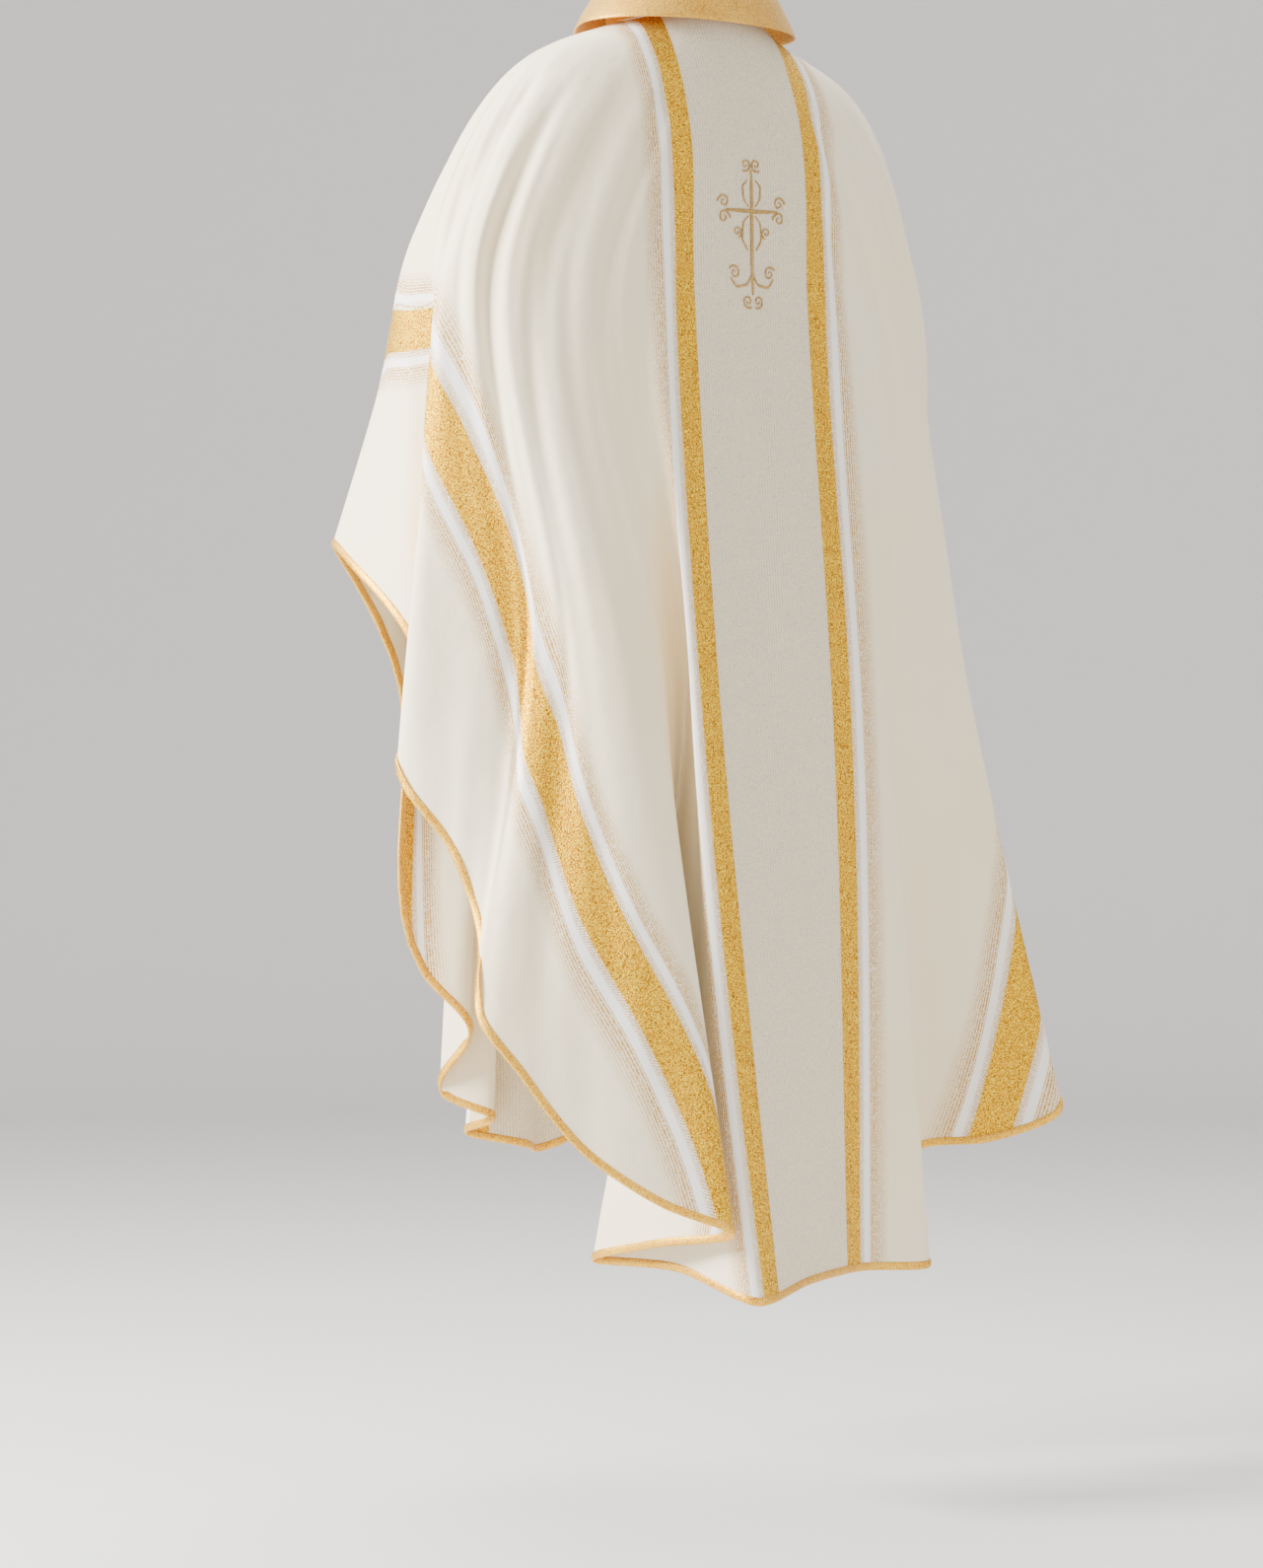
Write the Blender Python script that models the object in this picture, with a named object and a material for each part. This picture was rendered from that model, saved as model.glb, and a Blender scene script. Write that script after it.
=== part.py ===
"""A gothic chasuble as it hangs on its wearer, who stands with the forearms raised a little.

The back and the front are one sheet of cloth each, joined along the shoulder seams. Both
are lofted through rings: the neckline, the shoulders, the upper arms, the elbows' height
and the hem. FOLDS_LEFT and FOLDS_RIGHT hold the lower two rings, one row for each fold.

Frame: the origin is in the middle of the neckline, on the shoulders. The front faces -Y,
the wearer's left is +X and +Z is up. Metres.
"""
import math
from collections import namedtuple

import bmesh
import bpy
from mathutils import Vector

# Cloth and trim
CLOTH = 0.002
SEAM_GAP = 0.0004
BINDING_HEIGHT = 0.008
BINDING_PROUD = 0.0006
BINDING_GAP = 0.0009

# The neckline, an oval that dips at the front
NECK_HALF_WIDTH = 0.092
NECK_BACK = 0.062
NECK_FRONT = 0.074
NECK_DROP_SIDE = 0.012
NECK_DROP_FRONT = 0.040

# The ring on the shoulders
SHOULDER_HALF_WIDTH = 0.205
SHOULDER_BACK = 0.096
SHOULDER_FRONT = 0.100
SHOULDER_DROP_SIDE = 0.058
SHOULDER_DROP_BACK = 0.125
SHOULDER_DROP_FRONT = 0.170
SHOULDER_SQUARENESS = 0.85

# The ring round the upper arms and shoulder blades
ARM_HALF_WIDTH = 0.312
ARM_BACK = 0.104
ARM_FRONT = 0.135
ARM_FORWARD = 0.022
ARM_DROP_SIDE = 0.235
ARM_DROP_BACK = 0.290
ARM_DROP_FRONT = 0.320
ARM_SQUARENESS = 0.70

# The collar stands up from the neckline and turns down outside
COLLAR_STAND = 0.040
COLLAR_FALL_BACK = 0.054
COLLAR_FALL_SIDE = 0.043
COLLAR_SPREAD_SIDE = 0.036
COLLAR_SPREAD_BACK = 0.017
COLLAR_FOLD_RADIUS = 0.005
COLLAR_LIFT = 0.0005
COLLAR_SWELL = 0.003
COLLAR_SEGMENTS = 22

# Where the collar's section has its points: up the stand, round the fold in degrees from
# level, and down the fall
STAND_STOPS = (0, 0.5, 1)
FOLD_STOPS = (135, 90, 45)
FALL_STOPS = (0, 0.35, 0.7, 1)

# Faces between one fold row and the next, and the stops down the cloth, as shares of its length
STEPS_ACROSS = 3
STEPS_DOWN = (0, 0.05, 0.11, 0.19, 0.28, 0.38, 0.49, 0.60, 0.71, 0.82, 0.92)

# Where a fold's line meets the hem at a slant, the binding is measured square to the hem, up
# to this sine of the slant
LEAST_CROSSING = 0.3

SHARP_EDGE = math.radians(50)

# Linear colours
IVORY = (0.84, 0.79, 0.70)
GOLD = (0.66, 0.42, 0.08)
SATIN = (0.68, 0.42, 0.09)

# A row for each fold, from the centre back round to the centre front. "around" is where its
# line leaves the neckline, in degrees from the centre back. The waist and hem each have a
# turn in degrees from the centre back, a reach from the neck's axis and a drop below it, in
# millimetres.
Fold = namedtuple("Fold", "name around waist_turn waist_reach waist_drop hem_turn hem_reach hem_drop")

FOLDS_LEFT = [
    Fold("centre back", 0, 0, 138, 700, 0, 196, 1306),
    Fold("panel ridge", 9, 38, 174, 700, 25, 254, 1318),
    Fold("deep fold, near wall", 15, 38, 149, 700, 45, 168, 1292),
    Fold("deep fold, bottom", 20, 42, 119, 700, 80, 152, 1288),
    Fold("deep fold, far wall", 25, 48, 150, 700, 50, 192, 1266),
    Fold("deep fold, lip", 30, 51, 181, 695, 31, 272, 1246),
    Fold("near skirt, inner", 37, 60, 213, 690, 46, 297, 1214),
    Fold("near skirt, middle", 45, 68, 233, 685, 59, 323, 1163),
    Fold("near skirt, outer", 53, 73, 244, 680, 69, 350, 1084),
    Fold("side wave, crest", 61, 78, 254, 670, 75, 366, 1030),
    Fold("side wave, hollow", 69, 82, 262, 650, 79, 336, 949),
    Fold("side wave, top", 77, 87, 296, 620, 85, 338, 868),
    Fold("elbow fold", 84, 94, 337, 560, 93, 366, 790),
    Fold("shoulder seam", 90, 102, 268, 470, 101, 296, 715),
    Fold("sleeve flap, inner", 97, 108, 307, 430, 105, 320, 646),
    Fold("sleeve flap, middle", 106, 119, 323, 405, 117, 359, 575),
    Fold("sleeve flap, tip", 115, 127, 326, 400, 125, 373, 552),
    Fold("sleeve flap, return", 124, 135, 312, 420, 135, 345, 600),
    Fold("sleeve flap, curl", 132, 141, 296, 455, 139, 318, 668),
    Fold("front side fold", 140, 150, 266, 560, 142, 288, 1000),
    Fold("front side hollow", 146, 153, 240, 600, 147, 240, 1068),
    Fold("front middle fold", 151, 157, 262, 620, 151, 283, 1130),
    Fold("front middle hollow", 156, 161, 232, 630, 158, 234, 1160),
    Fold("front inner fold", 162, 166, 250, 640, 163, 284, 1178),
    Fold("front inner hollow", 170, 173, 217, 650, 172, 236, 1192),
    Fold("centre front", 180, 180, 220, 650, 180, 252, 1200),
]

FOLDS_RIGHT = [
    FOLDS_LEFT[0],
    Fold("panel edge", 9, 36, 173, 700, 32, 190, 1303),
    Fold("panel ridge", 15, 49, 208, 700, 49, 254, 1304),
    Fold("deep fold, bottom", 21, 59, 206, 695, 64, 172, 1268),
    Fold("far skirt, inner", 27, 66, 240, 690, 72, 268, 1190),
    Fold("far skirt, middle", 33, 69, 284, 685, 67, 340, 1182),
    Fold("far skirt, tip", 40, 70, 318, 680, 66, 420, 1150),
    Fold("far skirt, return", 47, 75, 312, 675, 76, 372, 1104),
    Fold("side hollow", 54, 79, 292, 665, 83, 326, 1046),
    Fold("side crest", 61, 83, 298, 655, 88, 362, 984),
    Fold("side wave, hollow", 69, 87, 300, 635, 92, 338, 920),
    Fold("side wave, top", 77, 91, 314, 615, 96, 348, 858),
    Fold("elbow fold", 84, 97, 339, 565, 100, 370, 790),
    Fold("shoulder seam", 90, 103, 270, 470, 105, 300, 715),
    Fold("sleeve flap, inner", 97, 109, 308, 430, 110, 322, 646),
    Fold("sleeve flap, middle", 106, 119, 323, 405, 118, 359, 582),
    Fold("sleeve flap, tip", 115, 127, 325, 400, 126, 370, 560),
    Fold("sleeve flap, return", 124, 135, 311, 420, 135, 343, 606),
    Fold("sleeve flap, curl", 132, 141, 294, 455, 139, 316, 680),
    Fold("front side fold", 140, 151, 268, 560, 143, 294, 990),
    Fold("front side hollow", 146, 154, 243, 600, 149, 244, 1060),
    Fold("front middle fold", 151, 158, 260, 620, 154, 286, 1122),
    Fold("front middle hollow", 156, 162, 234, 630, 160, 238, 1154),
    Fold("front inner fold", 162, 167, 248, 640, 166, 276, 1174),
    Fold("front inner hollow", 170, 173, 217, 650, 174, 238, 1192),
    FOLDS_LEFT[-1],
]

SEAM_ROW = 13
MILLIMETRE = 0.001


def polar(turn, reach, drop, side):
    """A point from its turn in degrees from the centre back, its reach and its drop."""
    angle = math.radians(turn)
    return Vector((side * reach * math.sin(angle), reach * math.cos(angle), -drop))


def oval(around, half_width, back, front, squareness, side):
    """A point of an oval ring round the neck, wider than it is deep."""
    across = math.sin(math.radians(around))
    along = math.cos(math.radians(around))
    depth = back if along > 0 else front
    x = half_width * abs(across) ** squareness
    y = depth * math.copysign(abs(along) ** squareness, along)
    return side * x, y


def blend_drop(around, at_back, at_side, at_front):
    """A ring's drop: its value at the back, the side or the front, blended between them."""
    along = math.cos(math.radians(around))
    end = at_back if along > 0 else at_front
    return at_side + (end - at_side) * along * along


def neck_point(around, side):
    x, y = oval(around, NECK_HALF_WIDTH, NECK_BACK, NECK_FRONT, 1, side)
    return Vector((x, y, -blend_drop(around, 0, NECK_DROP_SIDE, NECK_DROP_FRONT)))


def shoulder_point(around, side):
    x, y = oval(
        around, SHOULDER_HALF_WIDTH, SHOULDER_BACK, SHOULDER_FRONT, SHOULDER_SQUARENESS, side
    )
    drop = blend_drop(around, SHOULDER_DROP_BACK, SHOULDER_DROP_SIDE, SHOULDER_DROP_FRONT)
    return Vector((x, y, -drop))


def arm_point(around, side):
    x, y = oval(around, ARM_HALF_WIDTH, ARM_BACK, ARM_FRONT, ARM_SQUARENESS, side)
    y -= ARM_FORWARD * (x / ARM_HALF_WIDTH) ** 2
    return Vector((x, y, -blend_drop(around, ARM_DROP_BACK, ARM_DROP_SIDE, ARM_DROP_FRONT)))


def fold_line(fold, side):
    """The points that one fold's line passes through, from the neckline to the hem."""
    waist = polar(fold.waist_turn, fold.waist_reach * MILLIMETRE, fold.waist_drop * MILLIMETRE, side)
    hem = polar(fold.hem_turn, fold.hem_reach * MILLIMETRE, fold.hem_drop * MILLIMETRE, side)
    return [
        neck_point(fold.around, side),
        shoulder_point(fold.around, side),
        arm_point(fold.around, side),
        waist,
        hem,
    ]


def tangents(points, places, closed):
    """The slope of a smooth curve at each of its points."""
    count = len(points)
    slopes = []
    for i in range(count):
        before, after = i - 1, i + 1
        if closed:
            before, after = before % count, after % count
        elif i == 0:
            slopes.append((points[1] - points[0]) / (places[1] - places[0]))
            continue
        elif i == count - 1:
            slopes.append((points[i] - points[i - 1]) / (places[i] - places[i - 1]))
            continue
        reach_back = places[i] - places[i - 1] if i else places[-1] - places[-2]
        reach_on = places[i + 1] - places[i]
        slope_back = (points[i] - points[before]) / reach_back
        slope_on = (points[after] - points[i]) / reach_on
        slopes.append((slope_back * reach_on + slope_on * reach_back) / (reach_back + reach_on))
    return slopes


def hermite(start, start_slope, end, end_slope, length, share):
    """A point on the cubic between two points."""
    square, cube = share * share, share ** 3
    return (
        start * (2 * cube - 3 * square + 1)
        + start_slope * (length * (cube - 2 * square + share))
        + end * (3 * square - 2 * cube)
        + end_slope * (length * (cube - square))
    )


def ring_through(points, places):
    """A closed curve through points, with STEPS_ACROSS steps between each two."""
    slopes = tangents(points, places, True)
    ring = []
    for i in range(len(points)):
        nxt = (i + 1) % len(points)
        length = places[i + 1] - places[i]
        for step in range(STEPS_ACROSS):
            share = step / STEPS_ACROSS
            ring.append(hermite(points[i], slopes[i], points[nxt], slopes[nxt], length, share))
    return ring


def line_down(points, hem_direction):
    """A column of the cloth: points of the curve through one point of each ring.

    It has STEPS_DOWN and the cloth's edge, and then the binding's two, below a gap.
    """
    last_run = (points[-1] - points[-2]).normalized()
    crossing = max(last_run.cross(hem_direction).length, LEAST_CROSSING)
    places = [0]
    for i in range(len(points) - 1):
        places.append(places[-1] + (points[i + 1] - points[i]).length)
    slopes = tangents(points, places, False)
    column = []
    stops = [part * places[-1] for part in STEPS_DOWN]
    for height in (BINDING_HEIGHT + BINDING_GAP, BINDING_HEIGHT, 0):
        stops.append(places[-1] - height / crossing)
    for place in stops:
        i = 0
        while i < len(points) - 2 and place > places[i + 1]:
            i += 1
        length = places[i + 1] - places[i]
        share = (place - places[i]) / length
        column.append(hermite(points[i], slopes[i], points[i + 1], slopes[i + 1], length, share))
    return column


def cloth_columns():
    """The columns of the whole garment, from the centre back round by the left."""
    lines = [fold_line(fold, 1) for fold in FOLDS_LEFT]
    lines += [fold_line(fold, -1) for fold in reversed(FOLDS_RIGHT[1:-1])]
    hem = [line[-1] for line in lines]
    places = [0]
    for i in range(len(hem)):
        places.append(places[-1] + (hem[(i + 1) % len(hem)] - hem[i]).length)
    rings = []
    for level in range(len(lines[0])):
        rings.append(ring_through([line[level] for line in lines], places))
    edge = rings[-1]
    columns = []
    for i in range(len(edge)):
        hem_direction = (edge[(i + 1) % len(edge)] - edge[i - 1]).normalized()
        columns.append(line_down([ring[i] for ring in rings], hem_direction))
    return columns


def surface_normals(columns):
    """The outward direction at each point. The binding takes that of the edge it is sewn to."""
    count, rows = len(columns), len(columns[0])
    normals = []
    for i in range(count):
        column = []
        for k in range(rows):
            across = columns[(i + 1) % count][k] - columns[i - 1][k]
            down = columns[i][min(k + 1, rows - 1)] - columns[i][max(k - 1, 0)]
            column.append(down.cross(across).normalized())
        column[-2:] = [column[-3], column[-3]]
        normals.append(column)
    return normals


def add_quad(bm, a, b, c, d):
    """Two triangles, split along the shorter diagonal so that layers on each other agree."""
    if (a.co - c.co).length < (b.co - d.co).length:
        bm.faces.new((a, b, c))
        bm.faces.new((a, c, d))
    else:
        bm.faces.new((a, b, d))
        bm.faces.new((b, c, d))


def wall(inner, outer, closed_loop):
    """A closed solid between two grids of the same size."""
    bm = bmesh.new()
    inside = [[bm.verts.new(point) for point in column] for column in inner]
    outside = [[bm.verts.new(point) for point in column] for column in outer]
    count, rows = len(inner), len(inner[0])
    last = count if closed_loop else count - 1
    for i in range(last):
        j = (i + 1) % count
        for k in range(rows - 1):
            add_quad(bm, outside[i][k], outside[i][k + 1], outside[j][k + 1], outside[j][k])
            add_quad(bm, inside[i][k], inside[j][k], inside[j][k + 1], inside[i][k + 1])
        add_quad(bm, outside[i][0], outside[j][0], inside[j][0], inside[i][0])
        add_quad(bm, outside[i][-1], inside[i][-1], inside[j][-1], outside[j][-1])
    if not closed_loop:
        for k in range(rows - 1):
            add_quad(bm, outside[0][k], inside[0][k], inside[0][k + 1], outside[0][k + 1])
            add_quad(bm, outside[-1][k], outside[-1][k + 1], inside[-1][k + 1], inside[-1][k])
    bmesh.ops.recalc_face_normals(bm, faces=bm.faces)
    return bm


def add_object(name, bm, material):
    """Make the shape an object, shaded smooth but for its edges."""
    mesh = bpy.data.meshes.new(name)
    bm.to_mesh(mesh)
    bm.free()
    mesh.shade_smooth()
    mesh.set_sharp_from_angle(angle=SHARP_EDGE)
    mesh.materials.append(material)
    made = bpy.data.objects.new(name, mesh)
    bpy.context.collection.objects.link(made)
    return made


def make_material(name, colour, roughness, metallic):
    material = bpy.data.materials.new(name)
    material.use_nodes = True
    shader = material.node_tree.nodes["Principled BSDF"]
    shader.inputs["Base Color"].default_value = (*colour, 1)
    shader.inputs["Roughness"].default_value = roughness
    shader.inputs["Metallic"].default_value = metallic
    return material


def pulled_in(columns, distance):
    """The same columns with the first and the last moved in along the cloth, for a seam."""
    moved = [list(column) for column in columns]
    for end, beside in ((0, 1), (-1, -2)):
        for k, point in enumerate(columns[end]):
            towards = (columns[beside][k] - point).normalized()
            moved[end][k] = point + towards * distance
    return moved


def make_panel(name, columns, normals, material):
    """The back or the front: one sheet of cloth between the two shoulder seams."""
    sheet = [column[:-2] for column in columns]
    inner = pulled_in(sheet, SEAM_GAP / 2)
    outer = []
    for column, directions in zip(sheet, normals):
        outer.append([point + direction * CLOTH for point, direction in zip(column, directions)])
    outer = pulled_in(outer, SEAM_GAP / 2)
    return add_object(name, wall(inner, outer, False), material)


def make_binding(columns, normals, material):
    """The thicker strip that edges the cloth all round."""
    inner, outer = [], []
    for column, directions in zip(columns, normals):
        pairs = list(zip(column, directions))[-2:]
        inner.append([point - out * BINDING_PROUD for point, out in pairs])
        outer.append([point + out * (CLOTH + BINDING_PROUD) for point, out in pairs])
    return add_object("hem_binding", wall(inner, outer, True), material)


def collar_section(around, side):
    """Points of the collar's inner and outer faces at one place round the neck."""
    base = neck_point(around, side)
    x, y = oval(around, NECK_HALF_WIDTH, NECK_BACK, NECK_FRONT, 1, side)
    across = abs(math.sin(math.radians(around)))
    out = Vector((x / NECK_HALF_WIDTH ** 2, y / NECK_BACK ** 2, 0)).normalized()
    up = Vector((0, 0, 1))
    spread = COLLAR_SPREAD_BACK + (COLLAR_SPREAD_SIDE - COLLAR_SPREAD_BACK) * across ** 2
    fall = COLLAR_FALL_BACK + (COLLAR_FALL_SIDE - COLLAR_FALL_BACK) * across ** 2
    radius = COLLAR_FOLD_RADIUS
    start = base + up * COLLAR_LIFT
    middle = []
    for share in STAND_STOPS:
        middle.append(start + up * (COLLAR_STAND - radius) * share)
    top = start + up * (COLLAR_STAND - radius) + out * radius
    for degrees in FOLD_STOPS:
        angle = math.radians(degrees)
        middle.append(top + out * math.cos(angle) * radius + up * math.sin(angle) * radius)
    shoulder = top + out * radius
    edge = base + out * spread + up * (COLLAR_STAND - fall)
    for share in FALL_STOPS:
        swell = up * COLLAR_SWELL * math.sin(math.pi * share)
        middle.append(shoulder.lerp(edge, share) + swell)
    outer = []
    for i, point in enumerate(middle):
        along = middle[min(i + 1, len(middle) - 1)] - middle[max(i - 1, 0)]
        lift = along.normalized()
        away = up * lift.dot(out) - out * lift.dot(up)
        outer.append(point + away * CLOTH)
    return middle, outer


def make_collar(name, side, material):
    """Half of the turned-down collar, from the centre back to the centre front."""
    inner, outer = [], []
    for step in range(COLLAR_SEGMENTS + 1):
        around = 180 * step / COLLAR_SEGMENTS
        low, high = collar_section(around, side)
        inner.append(low)
        outer.append(high)
    inner = pulled_in(inner, SEAM_GAP / 2)
    outer = pulled_in(outer, SEAM_GAP / 2)
    return add_object(name, wall(inner, outer, False), material)


def main():
    for thing in list(bpy.data.objects):
        bpy.data.objects.remove(thing, do_unlink=True)
    ivory = make_material("ivory_cloth", IVORY, roughness=0.7, metallic=0)
    gold = make_material("gold_binding", GOLD, roughness=0.45, metallic=0.6)
    satin = make_material("gold_satin", SATIN, roughness=0.4, metallic=0.5)

    columns = cloth_columns()
    normals = surface_normals(columns)
    left_seam = SEAM_ROW * STEPS_ACROSS
    right_seam = len(columns) - left_seam
    back = list(range(right_seam, len(columns))) + list(range(left_seam + 1))
    front = list(range(left_seam, right_seam + 1))
    make_panel("back", [columns[i] for i in back], [normals[i] for i in back], ivory)
    make_panel("front", [columns[i] for i in front], [normals[i] for i in front], ivory)
    make_binding(columns, normals, gold)
    make_collar("collar_left", 1, satin)
    make_collar("collar_right", -1, satin)


main()
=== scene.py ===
"""The looks of a gothic chasuble, built round its fixed frame.

The cloth follows the same fold tables as the frame, in finer steps, with the smaller creases
added. The woven bands are laid out in millimetres on the cloth itself and carried to the
materials as attributes.
"""
import math
from collections import namedtuple

import bmesh
import bpy
import numpy as np
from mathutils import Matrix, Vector


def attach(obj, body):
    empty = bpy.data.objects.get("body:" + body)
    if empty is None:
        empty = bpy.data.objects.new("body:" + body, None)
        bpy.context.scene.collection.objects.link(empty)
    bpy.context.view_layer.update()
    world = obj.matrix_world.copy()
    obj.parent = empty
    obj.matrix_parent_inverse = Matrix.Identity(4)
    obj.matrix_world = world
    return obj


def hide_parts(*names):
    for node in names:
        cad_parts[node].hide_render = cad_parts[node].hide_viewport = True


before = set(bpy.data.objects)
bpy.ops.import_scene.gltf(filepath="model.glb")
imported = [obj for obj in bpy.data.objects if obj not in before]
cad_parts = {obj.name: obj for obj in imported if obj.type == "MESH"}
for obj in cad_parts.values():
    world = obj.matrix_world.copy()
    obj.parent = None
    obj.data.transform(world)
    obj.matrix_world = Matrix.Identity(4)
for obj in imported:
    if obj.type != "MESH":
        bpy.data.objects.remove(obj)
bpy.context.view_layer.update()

# Cloth: a thin shell inside the frame's 2 mm wall, at depths below the wall's outer face
CLOTH_OUTSIDE = 0.0004
CLOTH_INSIDE = 0.0016
SEAM_GAP = 0.0004
SEAM_ROW = 13

# The neckline, an oval that dips at the front
NECK_HALF_WIDTH = 0.092
NECK_BACK = 0.062
NECK_FRONT = 0.074
NECK_DROP_SIDE = 0.012
NECK_DROP_FRONT = 0.040

# The ring on the shoulders
SHOULDER_HALF_WIDTH = 0.205
SHOULDER_BACK = 0.096
SHOULDER_FRONT = 0.100
SHOULDER_DROP_SIDE = 0.058
SHOULDER_DROP_BACK = 0.125
SHOULDER_DROP_FRONT = 0.170
SHOULDER_SQUARENESS = 0.85

# The ring round the upper arms and shoulder blades
ARM_HALF_WIDTH = 0.312
ARM_BACK = 0.104
ARM_FRONT = 0.135
ARM_FORWARD = 0.022
ARM_DROP_SIDE = 0.235
ARM_DROP_BACK = 0.290
ARM_DROP_FRONT = 0.320
ARM_SQUARENESS = 0.70

# The collar stands up from the neckline and turns down outside
COLLAR_STAND = 0.040
COLLAR_FALL_BACK = 0.054
COLLAR_FALL_SIDE = 0.043
COLLAR_SPREAD_SIDE = 0.036
COLLAR_SPREAD_BACK = 0.017
COLLAR_FOLD_RADIUS = 0.005
COLLAR_LIFT = 0.0005
COLLAR_SWELL = 0.003
COLLAR_CLOTH = 0.002
COLLAR_SEGMENTS = 96

# Steps between one fold row and the next, and down the cloth
STEPS_ACROSS = 10
STEPS_DOWN = 150

# The hem's binding: its height, how far it stands proud, and how far the cloth ends inside it
BINDING_HEIGHT = 0.0085
BINDING_PROUD = 0.0014
CLOTH_SHORT = 0.0035
# Where a column meets the hem at a slant, its cloth is cut back further, up to this sine
LEAST_CROSSING = 0.3

# The woven bands, in millimetres on the cloth
PANEL_HALF = 78
GOLD_WIDE = 25
SIDE_GOLD_HALF = 20

# A row for each fold, from the centre back round to the centre front: where its line leaves the
# neckline, and its turn in degrees, reach and drop in millimetres at the waist and the hem
Fold = namedtuple("Fold", "name around waist_turn waist_reach waist_drop hem_turn hem_reach hem_drop")

FOLDS_LEFT = [
    Fold("centre back", 0, 0, 138, 700, 0, 196, 1306),
    Fold("panel ridge", 9, 38, 174, 700, 25, 254, 1318),
    Fold("deep fold, near wall", 15, 38, 149, 700, 45, 168, 1292),
    Fold("deep fold, bottom", 20, 42, 119, 700, 80, 152, 1288),
    Fold("deep fold, far wall", 25, 48, 150, 700, 50, 192, 1266),
    Fold("deep fold, lip", 30, 51, 181, 695, 31, 272, 1246),
    Fold("near skirt, inner", 37, 60, 213, 690, 46, 297, 1214),
    Fold("near skirt, middle", 45, 68, 233, 685, 59, 323, 1163),
    Fold("near skirt, outer", 53, 73, 244, 680, 69, 350, 1084),
    Fold("side wave, crest", 61, 78, 254, 670, 75, 366, 1030),
    Fold("side wave, hollow", 69, 82, 262, 650, 79, 336, 949),
    Fold("side wave, top", 77, 87, 296, 620, 85, 338, 868),
    Fold("elbow fold", 84, 94, 337, 560, 93, 366, 790),
    Fold("shoulder seam", 90, 102, 268, 470, 101, 296, 715),
    Fold("sleeve flap, inner", 97, 108, 307, 430, 105, 320, 646),
    Fold("sleeve flap, middle", 106, 119, 323, 405, 117, 359, 575),
    Fold("sleeve flap, tip", 115, 127, 326, 400, 125, 373, 552),
    Fold("sleeve flap, return", 124, 135, 312, 420, 135, 345, 600),
    Fold("sleeve flap, curl", 132, 141, 296, 455, 139, 318, 668),
    Fold("front side fold", 140, 150, 266, 560, 142, 288, 1000),
    Fold("front side hollow", 146, 153, 240, 600, 147, 240, 1068),
    Fold("front middle fold", 151, 157, 262, 620, 151, 283, 1130),
    Fold("front middle hollow", 156, 161, 232, 630, 158, 234, 1160),
    Fold("front inner fold", 162, 166, 250, 640, 163, 284, 1178),
    Fold("front inner hollow", 170, 173, 217, 650, 172, 236, 1192),
    Fold("centre front", 180, 180, 220, 650, 180, 252, 1200),
]

FOLDS_RIGHT = [
    FOLDS_LEFT[0],
    Fold("panel edge", 9, 36, 173, 700, 32, 190, 1303),
    Fold("panel ridge", 15, 49, 208, 700, 49, 254, 1304),
    Fold("deep fold, bottom", 21, 59, 206, 695, 64, 172, 1268),
    Fold("far skirt, inner", 27, 66, 240, 690, 72, 268, 1190),
    Fold("far skirt, middle", 33, 69, 284, 685, 67, 340, 1182),
    Fold("far skirt, tip", 40, 70, 318, 680, 66, 420, 1150),
    Fold("far skirt, return", 47, 75, 312, 675, 76, 372, 1104),
    Fold("side hollow", 54, 79, 292, 665, 83, 326, 1046),
    Fold("side crest", 61, 83, 298, 655, 88, 362, 984),
    Fold("side wave, hollow", 69, 87, 300, 635, 92, 338, 920),
    Fold("side wave, top", 77, 91, 314, 615, 96, 348, 858),
    Fold("elbow fold", 84, 97, 339, 565, 100, 370, 790),
    Fold("shoulder seam", 90, 103, 270, 470, 105, 300, 715),
    Fold("sleeve flap, inner", 97, 109, 308, 430, 110, 322, 646),
    Fold("sleeve flap, middle", 106, 119, 323, 405, 118, 359, 582),
    Fold("sleeve flap, tip", 115, 127, 325, 400, 126, 370, 560),
    Fold("sleeve flap, return", 124, 135, 311, 420, 135, 343, 606),
    Fold("sleeve flap, curl", 132, 141, 294, 455, 139, 316, 680),
    Fold("front side fold", 140, 151, 268, 560, 143, 294, 990),
    Fold("front side hollow", 146, 154, 243, 600, 149, 244, 1060),
    Fold("front middle fold", 151, 158, 260, 620, 154, 286, 1122),
    Fold("front middle hollow", 156, 162, 234, 630, 160, 238, 1154),
    Fold("front inner fold", 162, 167, 248, 640, 166, 276, 1174),
    Fold("front inner hollow", 170, 173, 217, 650, 174, 238, 1192),
    FOLDS_LEFT[-1],
]

# The middle of each side band in the flat cut, in millimetres: how far below the neck's centre
# along the middle of the cloth, and how far aside of it
BandStop = namedtuple("BandStop", "below aside")

BAND_BACK_LEFT = [
    BandStop(190, 531),
    BandStop(440, 540),
    BandStop(620, 542),
    BandStop(710, 532),
    BandStop(790, 505),
    BandStop(910, 477),
    BandStop(1070, 458),
    BandStop(1140, 467),
    BandStop(1210, 487),
    BandStop(1290, 530),
]

BAND_BACK_RIGHT = [
    BandStop(190, 523),
    BandStop(400, 536),
    BandStop(530, 552),
    BandStop(660, 544),
    BandStop(780, 523),
    BandStop(905, 501),
    BandStop(1010, 493),
    BandStop(1220, 502),
]

BAND_FRONT = [
    BandStop(150, 508),
    BandStop(500, 480),
    BandStop(900, 455),
    BandStop(1300, 455),
]

# Creases, each a soft trough with raised sides: where it starts and ends, as a fold row counted
# from the centre back and a share of the way down, and its width at each end and its depth, in
# millimetres
Crease = namedtuple("Crease", "row down end_row end_down width end_width depth")

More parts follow.
